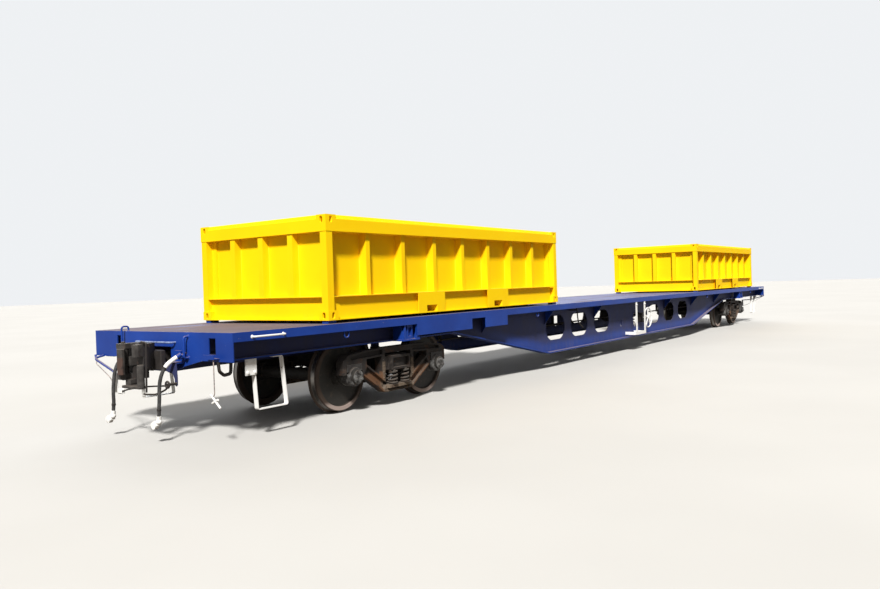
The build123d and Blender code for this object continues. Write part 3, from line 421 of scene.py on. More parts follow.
def blue_paint():
    """Fresh gloss blue on steel: dust on what faces up and on lower edges. Below the deck, a dark
    brown-grey paints grime together with the shade under the deck's overhang; on the uncoupling brackets it
    is painted shade. A strip above each girder's lower flange gets less of it, as a painted sunlit strip."""
    c = colours()
    f = Finish("blue_paint", 0.12)
    x, y, z = f.axes()
    broad = f.noise(1.6, 4.0)
    fine = f.noise(38.0, 5.0, rough=0.65)
    dirt = f.noise(7.0, 6.0, stretch=(1.0, 1.0, 0.35), rough=0.7)
    low = z.rise(0.62, 0.30) * dirt.rise(0.46, 0.74) * 0.22
    settled = f.facing_up().rise(0.35, 0.95) * (dirt * 0.55 + 0.42)
    specks = fine.rise(0.66, 0.74) * dirt.rise(0.50, 0.62) * 0.55
    colour = f.blend(broad.rise(0.30, 0.72), c.blue_shade, c.blue)
    colour = f.blend(low.most(settled), colour, c.dust)
    colour = f.blend(specks, colour, c.dust_pale)
    # Below the deck, inside the girders' edges: grime together with painted shade of the deck's overhang
    below_deck = z.rise(deck_under - 0.003, deck_under - 0.048)
    inward = abs(y).rise(girder_edge, girder_edge - 0.035) * abs(x).rise(half_deck - 0.020, half_deck - 0.050)
    (knee_x, knee_z), (end_x, end_z) = belly_knee, belly_end
    slope = (end_z - knee_z) / (end_x - knee_x)
    above_flange = z - (abs(x) - knee_x).most(0.0) * slope - knee_z
    # A band above the lower flange gets less of it: painted sunlight on the web below the deck's shadow
    sunlit_strip = above_flange.rise(0.230, 0.080) * abs(x).rise(6.900, 5.200)
    # The uncoupling brackets get it as painted shade
    bracket = abs(x).band(-bracket_x - 0.012, -bracket_x + 0.012, 0.003)
    bracket = bracket * z.rise(bracket_top + 0.005, bracket_top - 0.001)
    under = (below_deck * inward * (1.0 - sunlit_strip * 0.75)).most(bracket)
    colour = f.blend(under * (dirt * 0.45 + 0.45), colour, c.under_grime_and_shade)
    roughness = 0.34 + broad * 0.12 + settled * 0.35 + low * 0.30 + under * 0.2
    normal = f.relief(fine * 0.4 + f.noise(6.0, 2.0), 0.22, 0.004)
    return f.wear(colour, roughness, normal)


def dusty_deck():
    """Blue deck plates under pale pink-brown dust, scraped to paint in long streaks."""
    c = colours()
    f = Finish("deck_dust", 0.3)
    x = f.axes()[0]
    streak = f.noise(3.4, 6.0, stretch=(0.16, 1.0, 1.0), rough=0.62)
    cloud = f.noise(0.7, 4.0)
    grit = f.noise(60.0, 4.0, rough=0.7)
    away = x.rise(-10.9, -3.6)
    scrape = f.noise(9.0, 4.0, stretch=(0.05, 1.0, 1.0), shift=(2.0, 0.0, 0.0))
    bare = (streak + cloud * 0.50 + scrape * 0.30 + away * 0.24).rise(0.98, 1.16)
    under = f.blend(grit.rise(0.35, 0.75), c.blue_faded, c.blue)
    dust = f.blend(cloud.rise(0.42, 0.72) * 0.20, c.deck_dust, c.dust)
    dust = f.blend(grit.rise(0.60, 0.76) * 0.35, dust, c.dust_pale)
    top = f.facing_up().rise(0.5, 0.9)
    colour = f.blend(top * (1.0 - bare * 0.72), under, dust)
    normal = f.relief(grit * 0.6 + streak, 0.35, 0.003)
    return f.wear(colour, 0.86 - bare * 0.22, normal)


def yellow_paint():
    """Thick fresh yellow, a little uneven where plates pull at the welds, with faint grime low down and
    dust on the floor inside."""
    c = colours()
    f = Finish("yellow_paint", 0.12)
    z = f.axes()[2]
    broad = f.noise(1.1, 3.0)
    fine = f.noise(45.0, 4.0, rough=0.6)
    grime = f.noise(5.0, 6.0, stretch=(1.0, 1.0, 0.3), rough=0.7)
    foot = z.rise(bin_z + 0.272, bin_z + 0.002) * grime.rise(0.50, 0.80) * 0.24
    runs = grime.rise(0.62, 0.80) * 0.10
    floor = z.rise(bin_floor + 0.040, bin_floor) * z.rise(bin_floor - 0.060, bin_floor - 0.030)
    floor = floor * f.facing_up().rise(0.5, 0.9)
    colour = f.blend(broad.rise(0.30, 0.70), c.yellow_deep, c.yellow)
    colour = f.blend(foot.most(runs), colour, c.yellow_grime)
    colour = f.blend(floor * (grime.rise(0.30, 0.75) * 0.30 + broad.rise(0.35, 0.65) * 0.35), colour, c.dust)
    roughness = 0.60 + broad * 0.12 + foot * 0.25
    normal = f.relief(broad * 2.0 + fine * 0.10, 0.30, 0.010)
    return f.wear(colour, roughness, normal)


def bogie_casting():
    """Dark cast steel, sand-rough, under road dust that lies on its ledges: orange-brown rust on the side
    frames' lower members, tan dust on the spring seats and columns. Above 0.6 m less dust is laid, which
    keeps the upper parts dark as painted shade from the deck."""
    c = colours()
    f = Finish("bogie_casting", 0.3)
    grain = f.noise(110.0, 4.0, rough=0.7)
    patch = f.noise(9.0, 6.0, rough=0.68)
    rust = f.noise(5.0, 5.0, shift=(3.0, 1.0, 7.0), rough=0.7)
    x, y, z = f.axes()
    # Less dust and film on the upper parts: painted shade from the deck above
    high = z.rise(0.60, 0.70)
    settled = f.facing_up().rise(0.15, 0.85) * (patch * 0.6 + 0.25) * (1.0 - high * 0.6)
    film = patch.rise(0.47, 0.70) * (0.34 - high * 0.24)
    colour = f.blend(rust.rise(0.50, 0.68) * 0.8, c.cast_black, c.rust_dark)
    along = abs(abs(x) - bogie_x)
    member = along.band(0.330, 0.700, 0.04) * z.band(0.215, 0.470, 0.04)
    lower = member * abs(y).rise(0.990, 1.010) * rust.rise(0.34, 0.50)
    seat = along.rise(0.300, 0.260) * z.rise(spring_low + 0.030, spring_low)
    colour = f.blend(lower * 0.85, colour, c.rust_orange)
    column = along.band(0.262, 0.335, 0.01) * z.rise(0.640, 0.600)
    colour = f.blend(seat.most(column * 0.7) * patch.rise(0.30, 0.60) * 0.8, colour, c.seat_dust)
    colour = f.blend(settled.most(film), colour, c.road_dust)
    normal = f.relief(grain * 0.5 + patch, 0.55, 0.004)
    return f.wear(colour, 0.72 + patch * 0.2, normal)


def bearing_steel():
    """Grey bearing cups and caps with grease and dust, under dark adapters."""
    c = colours()
    f = Finish("bearing_steel", 0.4)
    grain = f.noise(90.0, 4.0)
    patch = f.noise(14.0, 5.0, rough=0.65)
    adapter = f.axes()[2].rise(axle_z + 0.057, axle_z + 0.087)
    colour = f.blend(patch.rise(0.36, 0.66) * (1.0 - adapter * 0.85), c.cast_black, c.cap_grey)
    colour = f.blend(f.facing_up().rise(0.2, 0.9) * 0.6, colour, c.road_dust)
    normal = f.relief(grain * 0.4 + patch, 0.4, 0.003)
    return f.wear(colour, 0.60 + patch * 0.25, normal)


def wheelset_steel(name, centre):
    """One wheelset's steel: tread worn bright, rim rust-brown, plate dark, in rings about its own axle, with
    pale dust and painted sunlight on the rim's outer face just above the rail."""
    c = colours()
    f = Finish(name, 0.4)
    x, y, z = f.axes()
    dx = x - centre
    dz = z - axle_z
    r = (dx * dx + dz * dz) ** 0.5
    grain = f.noise(80.0, 4.0, rough=0.65)
    patch = f.noise(11.0, 6.0, rough=0.68)
    side = abs(y)
    inner_face, outer_face = wheel_faces
    rim = r.rise(rim_inner_r - 0.007, rim_inner_r + 0.007)
    tread = r.rise(tread_r - 0.0055, tread_r - 0.0025) * side.band(inner_face, outer_face - 0.035, 0.012)
    brown = (rim * 0.9).most(patch.rise(0.55, 0.72) * 0.6)
    colour = f.blend(brown, c.wheel_dark, c.rim_brown)
    colour = f.blend(patch.rise(0.50, 0.74) * 0.22, colour, c.road_dust)
    # The rim's lower outer face: pale dust together with painted sunlight
    foot = rim * side.rise(outer_face - 0.010, outer_face + 0.005) * z.rise(0.190, 0.110)
    lit_foot_dust = [0.25 * tan + 0.75 * pale for tan, pale in zip(c.seat_dust, c.dust_pale)]
    colour = f.blend(foot * 0.9, colour, lit_foot_dust)
    colour = f.blend(tread, colour, c.tread_bright)
    normal = f.relief(grain * 0.5 + patch, 0.35, 0.003)
    return f.wear(colour, 0.72 - tread * 0.42, normal, tread * 0.9)


def white_paint():
    """White safety paint, thin at edges, with brown rubs and rust where boots and hands go."""
    c = colours()
    f = Finish("white_paint", 0.4)
    fine = f.noise(55.0, 5.0, rough=0.7)
    patch = f.noise(13.0, 5.0, rough=0.65)
    rub = (patch + fine * 0.5).rise(0.90, 1.02)
    stain = patch.rise(0.55, 0.76) * 0.22
    colour = f.blend(stain, c.white, c.road_dust)
    colour = f.blend(rub, colour, c.rust_dark)
    normal = f.relief(fine * 0.5 - rub, 0.3, 0.002)
    return f.wear(colour, 0.45 + rub * 0.35 + stain * 0.3, normal)


def hose_rubber():
    """Dull grey-black rubber with fine cross ribs and dust."""
    c = colours()
    f = Finish("hose_rubber", 0.35)
    patch = f.noise(24.0, 5.0)
    wrap = f.noise(1.0, 2.0, stretch=(20.0, 20.0, 160.0))
    colour = f.blend(patch.rise(0.40, 0.72) * 0.8, c.rubber, c.rubber_dusty)
    normal = f.relief(wrap + patch * 0.4, 0.35, 0.0015)
    return f.wear(colour, 0.62 + patch * 0.2, normal)


def brake_gear_paint():
    """Black gear paint gone grey with dust, rusty in places."""
    c = colours()
    f = Finish("gear_paint", 0.35)
    patch = f.noise(10.0, 6.0, rough=0.68)
    fine = f.noise(70.0, 4.0)
    settled = f.facing_up().rise(0.2, 0.9) * (patch * 0.5 + 0.35)
    colour = f.blend(patch.rise(0.54, 0.72) * 0.6, c.cast_black, c.rust_dark)
    colour = f.blend(settled, colour, c.road_dust)
    normal = f.relief(fine * 0.4 + patch, 0.4, 0.003)
    return f.wear(colour, 0.62 + patch * 0.25, normal)


def coupler_casting():
    """Cast coupler steel: dark oxide, greyer at the head, red-brown on the pulling face, dust on shelves."""
    c = colours()
    f = Finish("coupler_casting", 0.4)
    grain = f.noise(95.0, 4.0, rough=0.7)
    patch = f.noise(8.0, 6.0, rough=0.68)
    rub = f.noise(15.0, 5.0, shift=(5.0, 2.0, 1.0), rough=0.7)
    x, y, z = f.axes()
    across_pull = y * x / abs(x) * -1.0
    pulling = abs(x).rise(12.090, 12.102) * z.rise(coupler_z + 0.057, coupler_z + 0.037)
    pulling = pulling * across_pull.rise(-0.050, -0.020) * (rub.rise(0.30, 0.45) * 0.85)
    settled = f.facing_up().rise(0.2, 0.9) * (patch * 0.5 + 0.30)
    head = abs(x).rise(11.930, 12.030) * 0.8 + 0.2
    colour = f.blend(patch.rise(0.35, 0.70) * head, c.cast_black, c.cast_grey)
    colour = f.blend((rub.rise(0.55, 0.72) * 0.5).most(pulling), colour, c.rust_red)
    colour = f.blend(settled * head, colour, c.road_dust)
    normal = f.relief(grain * 0.5 + patch, 0.45, 0.003)
    return f.wear(colour, 0.62 + patch * 0.2, normal)


def spring_steel():
    """Spring bar, brown-black with dust on the upper side of each turn."""
    c = colours()
    f = Finish("spring_steel", 0.4)
    patch = f.noise(26.0, 5.0, rough=0.65)
    settled = f.facing_up().rise(0.1, 0.8) * 0.75
    colour = f.blend(patch.rise(0.45, 0.68) * 0.8, c.wheel_dark, c.rust_dark)
    colour = f.blend(settled, colour, c.road_dust)
    return f.wear(colour, 0.60 + patch * 0.25, f.relief(patch, 0.3, 0.002))


def scuffed_highlight_rail():
    """Blue paint mottled with a pale grey-blue: rubbed paint together with the rail's painted highlight."""
    c = colours()
    f = Finish("scuffed_highlight_rail", 0.4)
    patch = f.noise(22.0, 5.0, rough=0.65)
    colour = f.blend(patch.rise(0.42, 0.66), c.rail_pale_highlight, c.blue_faded)
    return f.wear(colour, 0.45 + patch * 0.25, f.relief(patch, 0.3, 0.002))


def galvanised_steel():
    """Zinc-grey steel with a soft mottle."""
    c = colours()
    f = Finish("galvanised_steel", 0.4)
    patch = f.noise(40.0, 4.0, rough=0.6)
    colour = f.blend(patch.rise(0.35, 0.70), c.cap_grey, c.dust_pale)
    return f.wear(colour, 0.50 + patch * 0.2, f.relief(patch, 0.2, 0.002))


def weld_bead():
    """Welds painted over with the bins' yellow, with the ripple of each pass."""
    c = colours()
    f = Finish("weld_bead", 0.35)
    ripple = f.noise(1.0, 2.0, stretch=(120.0, 120.0, 120.0))
    patch = f.noise(9.0, 4.0)
    colour = f.blend(patch.rise(0.35, 0.70), c.yellow_deep, c.yellow)
    return f.wear(colour, 0.42 + patch * 0.1, f.relief(ripple, 0.5, 0.002))


# Surfaces as whole arrays: each shape is its points and a list of face tables

def quads(rows, columns, close_rows=False, close_columns=False):
    """Faces of a grid numbered row by row; a closed side joins its last line to its first."""
    i, j = np.meshgrid(np.arange(rows if close_rows else rows - 1),
                       np.arange(columns if close_columns else columns - 1), indexing="ij")
    right = (j + 1) % columns
    below = (i + 1) % rows
    corners = [i * columns + j, i * columns + right, below * columns + right, below * columns + j]
    return np.stack(corners, -1).reshape(-1, 4)


def unit(vectors):
    return vectors / np.linalg.norm(vectors, axis=-1, keepdims=True)


def tube(path, radius, sides, reference, closed=False):
    """A round bar along a path. Point (i, j) is path point i plus radius times cos a(j) along the reference
    direction made square to the path, plus radius times sin a(j) along the third direction."""
    path = np.asarray(path, float)
    along = np.gradient(path, axis=0)
    if closed:
        along = np.roll(path, -1, axis=0) - np.roll(path, 1, axis=0)
    along = unit(along)
    ref = np.asarray(reference, float)
    first = unit(ref - (along @ ref)[:, None] * along)
    second = np.cross(along, first)
    angle = np.linspace(0, 2 * pi, sides, endpoint=False)[None, :, None]
    points = path[:, None] + radius * (np.cos(angle) * first[:, None] + np.sin(angle) * second[:, None])
    faces = [quads(len(path), sides, closed, True)]
    if not closed:
        last = (len(path) - 1) * sides
        faces.append(np.arange(sides)[::-1][None])
        faces.append(last + np.arange(sides)[None])
    return points.reshape(-1, 3), faces


def ring_about(axis, sides):
    """The unit axis w, and unit directions square to it: cos a(j) times one of them plus sin a(j) times the
    next, at even angles a(j) round the axis."""
    w = unit(np.asarray(axis, float))
    helper = np.eye(3)[2 if abs(w[2]) < 0.9 else 0]
    u = unit(np.cross(helper, w))
    angle = np.linspace(0, 2 * pi, sides, endpoint=False)[:, None]
    return w, np.cos(angle) * u + np.sin(angle) * np.cross(w, u)


def turned_shape(profile, sides, centre, axis):
    """A shape turned about an axis. The profile runs from the bottom pole to the top pole as (radius,
    height); point (i, j) is the centre plus height along the axis plus radius at angle a(j) round it."""
    profile = np.asarray(profile, float)
    w, ring = ring_about(axis, sides)
    middle = profile[1:-1]
    points = middle[:, :1, None] * ring + (middle[:, 1:] * w)[:, None]
    poles = profile[[0, -1], 1:] * w
    points = np.vstack([points.reshape(-1, 3), poles]) + np.asarray(centre, float)
    rows = len(middle)
    j = np.arange(sides)
    k = (j + 1) % sides
    low, high = rows * sides, rows * sides + 1
    bottom = np.stack([np.full(sides, low), k, j], -1)
    top = np.stack([np.full(sides, high), (rows - 1) * sides + j, (rows - 1) * sides + k], -1)
    return points, [quads(rows, sides, False, True), bottom, top]


def ring_shape(section, sides, centre, axis):
    """A closed section of (radius, height) carried round an axis, as on a collar or a washer: point (i, j) is
    the centre plus height along the axis plus radius at angle a(j) round it."""
    section = np.asarray(section, float)
    w, ring = ring_about(axis, sides)
    points = section[:, :1, None] * ring + (section[:, 1:] * w)[:, None]
    return points.reshape(-1, 3) + np.asarray(centre, float), [quads(len(section), sides, True, True)]


def disc(radius, low, high, sides, centre, axis):
    """A round plate or bar between two heights along an axis."""
    return turned_shape([(0, low), (radius, low), (radius, high), (0, high)], sides, centre, axis)


def slab(outline, low, high, axes=(0, 1, 2)):
    """A plate of even thickness. The outline runs anticlockwise seen from the high side, as (a, b) pairs; the
    axes say which of x, y and z are a, b and the thickness."""
    outline = np.asarray(outline, float)
    n = len(outline)
    points = np.zeros((2 * n, 3))
    points[:, axes[0]] = np.tile(outline[:, 0], 2)
    points[:, axes[1]] = np.tile(outline[:, 1], 2)
    points[:, axes[2]] = np.repeat([low, high], n)
    i = np.arange(n)
    j = (i + 1) % n
    faces = [np.stack([i, j, j + n, i + n], -1), i[::-1][None], (i + n)[None]]
    if axes in ((0, 2, 1), (1, 0, 2), (2, 1, 0)):
        faces = [table[:, ::-1] for table in faces]
    return points, faces


def bent_line(points, bend, steps=7):
    """A path along straight runs whose corners are arcs. Each arc starts bend times the tangent of half the
    turn before its corner, and its points are its centre plus radius vectors turned at an even rate."""
    points = np.asarray(points, float)
    path = [points[:1]]
    for before, corner, after in zip(points, points[1:], points[2:]):
        come, leave = unit(corner - before), unit(after - corner)
        turn = np.arccos(np.clip(come @ leave, -1.0, 1.0))
        cut = bend * np.tan(turn / 2)
        inward = unit(leave - come)
        centre = corner + inward * bend / np.cos(turn / 2)
        start = corner - come * cut - centre
        side = unit(come)
        angle = np.linspace(0.0, turn, steps)[:, None]
        path.append(centre + np.cos(angle) * start + np.sin(angle) * bend * side)
    path.append(points[-1:])
    return np.vstack(path)


def bars(lines, radius, bend, sides=12):
    """Round bars along several lines, each with its corners rounded."""
    shapes = []
    for line in lines:
        path = bent_line(line, bend)
        lean = np.ptp(path, axis=0)
        shapes.append(tube(path, radius, sides, np.eye(3)[int(np.argmin(lean))]))
    return joined(shapes)


def hoop(first, second, stand):
    """The line of a bar that stands out between two feet."""
    first, second, stand = np.array([first, second, stand], float)
    return [first, first + stand, second + stand, second]


def box(low, high):
    """A block between two corners."""
    (x0, y0, z0), (x1, y1, z1) = low, high
    return slab([(x0, y0), (x1, y0), (x1, y1), (x0, y1)], z0, z1)


def turned_copy(shape):
    """The shape at the other end of the wagon: x and y change sign, which keeps faces outward."""
    points, tables = shape
    return points * (-1.0, -1.0, 1.0), tables


def across(shape):
    """The shape on the other side of the wagon: y changes sign, and each face turns round to stay outward."""
    points, tables = shape
    return points * (1.0, -1.0, 1.0), [table[:, ::-1] for table in tables]


def at_end(shape, sign):
    """A near shape as it is at the near end, or its copy at the far end, by the sign of the end's x."""
    return shape if sign < 0 else turned_copy(shape)


def both_ends(shape):
    """A near shape with its copy at the far end."""
    return joined([shape, turned_copy(shape)])


def four_corners(shape):
    """A near right shape with its copies at the other three corners."""
    return joined([shape, across(shape), turned_copy(shape), turned_copy(across(shape))])


def joined(shapes):
    """One shape from several: their points one after another, their faces renumbered."""
    points = []
    faces = []
    start = 0
    for some_points, tables in shapes:
        points.append(some_points)
        faces += [table + start for table in tables]
        start += len(some_points)
    return np.vstack(points), faces


def spread(shape, spots):
    """The same shape at many spots."""
    points, tables = shape
    spots = np.asarray(spots, float)
    many = (points[None] + spots[:, None]).reshape(-1, 3)
    step = (np.arange(len(spots)) * len(points))[:, None, None]
    return many, [(table[None] + step).reshape(-1, table.shape[1]) for table in tables]


def mesh_of(name, shape):
    """A mesh from a shape's points and face tables."""
    points, tables = shape
    mesh = bpy.data.meshes.new(name)
    mesh.from_pydata(points.tolist(), [], [tuple(face) for table in tables for face in table.tolist()])
    return mesh


def linked(name, data):
    """An object in the scene's collection."""
    obj = bpy.data.objects.new(name, data)
    bpy.context.scene.collection.objects.link(obj)
    return obj


def rounded(obj, width, steps, angle):
    """A live bevel on the edges that are sharper than an angle in degrees."""
    modifier = obj.modifiers.new("Bevel", "BEVEL")
    modifier.width = width
    modifier.segments = steps
    modifier.limit_method = "ANGLE"
    modifier.angle_limit = radians(angle)
    return modifier


def dress(obj, material):
    """Gives an object one material in place of those it has."""
    obj.data.materials.clear()
    obj.data.materials.append(material)


def piece(name, shape, body, kind, smooth=True, bevel=0.0):
    """A mesh object from a shape, riding on a body and wearing a finish."""
    mesh = mesh_of(name, shape)
    mesh.polygons.foreach_set("use_smooth", np.full(len(mesh.polygons), smooth))
    mesh.update()
    obj = linked(name, mesh)
    if smooth:
        mesh.set_sharp_from_angle(angle=radians(piece_sharp))
    if bevel:
        rounded(obj, bevel, 2, piece_round)
    dress(obj, finish(kind))
    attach(obj, body)
    return obj


def bolt(radius, height, axis):
    """A hexagon head on a round washer, standing on the origin along an axis."""
    origin = (0, 0, 0)
    thin = height * 0.22
    washer = disc(radius * 1.45, -0.002, thin, 14, origin, axis)
    head = [(0, thin), (radius, thin), (radius, height * 0.86), (radius * 0.86, height), (0, height)]
    return joined([washer, turned_shape(head, 6, origin, axis)])


def rivet(radius, height, axis):
    """A round button head: its height falls as the square root of one less the radius's share squared."""
    share = np.array([1.0, 0.92, 0.74, 0.45])
    dome = [(radius * s, height * (1 - s * s) ** 0.5) for s in share]
    return turned_shape([(0, -0.002), (radius, -0.002)] + dome + [(0, height)], 10, (0, 0, 0), axis)


# Sizes and colours a user would change

def length_property(name, description, default):
    return bpy.props.FloatProperty(name=name, description=description, default=default, unit="LENGTH")


def colour_property(name, description, default):
    return bpy.props.FloatVectorProperty(name=name, description=description, default=default, subtype="COLOR",
                                         min=0.0, max=1.0)


class WagonSizes(bpy.types.PropertyGroup):
    spring_turns: bpy.props.FloatProperty(
        name="Spring turns", description="Working turns of each outer bogie spring", default=3.2, min=2.0,
        max=9.0)
    spring_bar: length_property("Spring bar", "Radius of the outer springs' round bar", 0.0130)
    spring_radius: length_property("Spring radius", "Outside radius of the outer springs", 0.066)
    casting_edge: length_property("Casting edge", "Radius of the castings' rounded edges", 0.006)
    weld_radius: length_property("Weld radius", "Radius of the weld beads", 0.006)
    bolt_radius: length_property("Bolt radius", "Half the width of the frame's bolt heads", 0.016)
    sun_angle: bpy.props.FloatProperty(
        name="Lamp softness", description="How wide the main lamp looks", default=radians(7), subtype="ANGLE")


class WagonColours(bpy.types.PropertyGroup):
    blue: colour_property("Blue", "The wagon's gloss blue", (0.012, 0.051, 0.300))
    blue_shade: colour_property("Blue, deep", "The blue where the coat is thick", (0.009, 0.036, 0.225))
    blue_faded: colour_property("Blue, faded", "The blue of the worn deck", (0.097, 0.123, 0.264))
    # Grime together with painted shade under the deck and on the uncoupling brackets
    under_grime_and_shade: colour_property("Underside grime", "Brown-grey film on the girders", (0.044, 0.038, 0.035))
    dust: colour_property("Dust", "Brown-grey dust", (0.264, 0.211, 0.190))
    dust_pale: colour_property("Pale dust", "Dry dust and scuffs", (0.458, 0.370, 0.343))
    deck_dust: colour_property("Deck dust", "Pink-grey dust on the deck", (0.116, 0.094, 0.125))
    yellow: colour_property("Yellow", "The bins' yellow", (0.960, 0.652, 0.002))
    yellow_deep: colour_property("Yellow, deep", "The yellow where the coat is thick", (0.950, 0.602, 0.002))
    yellow_grime: colour_property("Yellow grime", "Faint grime on the bins", (0.500, 0.310, 0.034))
    cast_black: colour_property("Casting", "Oxide on cast steel", (0.014, 0.011, 0.010))
    cast_grey: colour_property("Casting, worn", "Grey sheen on cast steel", (0.060, 0.055, 0.051))
    cap_grey: colour_property("Bearing grey", "Dusty steel of the bearing caps", (0.154, 0.154, 0.151))
    rust_dark: colour_property("Dark rust", "Old brown rust", (0.053, 0.025, 0.014))
    rust_red: colour_property("Red rust", "Red-brown rust on the couplers", (0.062, 0.030, 0.021))
    road_dust: colour_property("Road dust", "Dust on the running gear", (0.120, 0.100, 0.084))
    seat_dust: colour_property("Seat dust", "Tan dust on the spring seats and columns", (0.220, 0.167, 0.119))
    wheel_dark: colour_property("Wheel plate", "Dark steel of the wheel plates", (0.020, 0.018, 0.015))
    rim_brown: colour_property("Wheel rim", "Brown rust of the rims", (0.042, 0.025, 0.016))
    tread_bright: colour_property("Tread", "Steel that the rail keeps bright", (0.200, 0.185, 0.170))
    white: colour_property("White", "White safety paint", (0.840, 0.840, 0.825))
    rust_orange: colour_property("Orange rust", "Rust on the frames' lower members", (0.145, 0.069, 0.033))
    # Pale grey-blue that paints the level rails' highlight along with their rubbed paint
    rail_pale_highlight: colour_property("Scuffed rail", "Chalky grey-blue of the handled rails", (0.229, 0.290, 0.458))
    rubber: colour_property("Rubber", "Brake hose rubber", (0.027, 0.027, 0.028))
    rubber_dusty: colour_property("Dusty rubber", "Brake hose rubber under dust", (0.075, 0.072, 0.070))


# Operators, one for each group of pieces

class WAGON_OT_stage(bpy.types.Operator):
    """Make the camera, the pale floor, the lamps and the surrounding light."""
    bl_idname = "wagon.stage"
    bl_label = "Stage"

    def execute(self, context):
        scene = context.scene
        flat = cos(camera_pitch)
        ahead = Vector((flat * cos(camera_yaw), flat * sin(camera_yaw), sin(camera_pitch)))
        level = Vector((sin(camera_yaw), -cos(camera_yaw), 0.0))
        above = level.cross(ahead)
        right = cos(camera_roll) * level + sin(camera_roll) * above
        up = cos(camera_roll) * above - sin(camera_roll) * level
        lens = bpy.data.cameras.new("photo_camera")
        lens.sensor_fit = "HORIZONTAL"
        lens.sensor_width = sensor_width
        lens.lens = camera_lens
        lens.clip_end = camera_reach
        camera = linked("photo_camera", lens)
        camera.matrix_world = Matrix((
            (right.x, up.x, -ahead.x, camera_spot[0]),
            (right.y, up.y, -ahead.y, camera_spot[1]),
            (right.z, up.z, -ahead.z, camera_spot[2]),
            (0.0, 0.0, 0.0, 1.0),
        ))
        scene.camera = camera
        scene.view_settings.view_transform = "Standard"

        corners = [(sx * floor_half, sy * floor_half, 0.0) for sx, sy in ((-1, -1), (1, -1), (1, 1), (-1, 1))]
        floor = linked("floor", mesh_of("floor", (np.array(corners), [np.arange(4)[None]])))
        pale = Finish("pale_floor", 0.1)
        colour = pale.blend(pale.noise(0.25, 3.0).rise(0.3, 0.7), *floor_seen)
        dress(floor, pale.wear(pale.blend(seen_directly(pale.tree), floor_light, colour), 0.9))

        flat = cos(lamp_rise)
        lamp_from = (-cos(lamp_turn) * flat, -sin(lamp_turn) * flat, sin(lamp_rise))
        lamp("main_lamp", lamp_energy, scene.wagon_sizes.sun_angle, lamp_colour, lamp_from)
        lamp("fill_lamp", fill_energy, fill_width, fill_colour, fill_from)

        world = bpy.data.worlds.new("studio")
        scene.world = world
        world.use_nodes = True
        tree = world.node_tree
        light = tree.nodes["Background"]
        shown = tree.nodes.new("ShaderNodeBackground")
        for node, colour, strength in ((light, sky_light, sky_strength), (shown, sky_seen, 1.0)):
            node.inputs["Color"].default_value = (*colour, 1.0)
            node.inputs["Strength"].default_value = strength
        mix = tree.nodes.new("ShaderNodeMixShader")
        for i, socket in enumerate((seen_directly(tree), light.outputs[0], shown.outputs[0])):
            tree.links.new(socket, mix.inputs[i])
        tree.links.new(mix.outputs[0], tree.nodes["World Output"].inputs["Surface"])
        return {"FINISHED"}


def seen_directly(tree):
    """1 for rays from the camera or through gloss or glass: the most of three outputs of Light Path."""
    rays = tree.nodes.new("ShaderNodeLightPath")
    seen = rays.outputs["Is Camera Ray"]
    for name in ("Is Glossy Ray", "Is Transmission Ray"):
        most = tree.nodes.new("ShaderNodeMath")
        most.operation = "MAXIMUM"
        tree.links.new(seen, most.inputs[0])
        tree.links.new(rays.outputs[name], most.inputs[1])
        seen = most.outputs[0]
    return seen


def lamp(name, energy, wide, colour, shines_from):
    """A lamp as far off as the sun, that looks so many radians wide and shines from a direction."""
    light = bpy.data.lights.new(name, "SUN")
    light.energy = energy
    light.angle = wide
    light.color = colour
    linked(name, light).rotation_euler = Vector(shines_from).to_track_quat("Z", "Y").to_euler()


class WAGON_OT_hoses(bpy.types.Operator):
    """Hang the two brake hoses from the near cocks, with their clamps and sleeves."""
    bl_idname = "wagon.hoses"
    bl_label = "Brake hoses"

    def execute(self, context):
        for name, (length, line) in hose_lines.items():
            curve = bpy.data.curves.new(name + "_line", "CURVE")
            curve.dimensions = "3D"
            spline = curve.splines.new("NURBS")
            spline.points.add(len(line) - 1)
            spline.points.foreach_set("co", np.hstack([np.array(line), np.ones((len(line), 1))]).ravel())
            spline.order_u = 3
            spline.use_endpoint_u = True
            spline.resolution_u = 12
            obj = linked(name + "_rubber", curve)
            centre = centre_line(obj)
            curve.bevel_depth = hose_bore_r
            curve.bevel_resolution = 5
            curve.use_fill_caps = True
            obj.data.materials.append(finish("rubber"))
            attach(obj, "root")
            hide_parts(name)
            reach = hose_sleeves[name]
            last = len(centre) - 1
            for label, share in (("top", reach / length + clamp_past_sleeve), ("foot", foot_clamp_share)):
                i = int(share * last)
                clamp = tube(centre[i - 1:i + 2], hose_bore_r + clamp_wall, 20, (0.0, 1.0, 0.0))
                piece(f"{name}_clamp_{label}", clamp, "root", "gear")
            covered = max(4, int(reach / length * len(centre)))
            sleeve = tube(centre[:covered], hose_bore_r + sleeve_wall, 20, (0.0, 1.0, 0.0))
            piece(f"{name}_sleeve", sleeve, "root", "white")
        return {"FINISHED"}


def centre_line(obj):
    """The points of a curve's own line, as the curve draws it with no thickness."""
    bpy.context.view_layer.update()
    graph = bpy.context.evaluated_depsgraph_get()
    mesh = bpy.data.meshes.new_from_object(obj.evaluated_get(graph))
    points = np.empty(3 * len(mesh.vertices), np.float32)
    mesh.vertices.foreach_get("co", points)
    bpy.data.meshes.remove(mesh)
    return points.reshape(-1, 3)


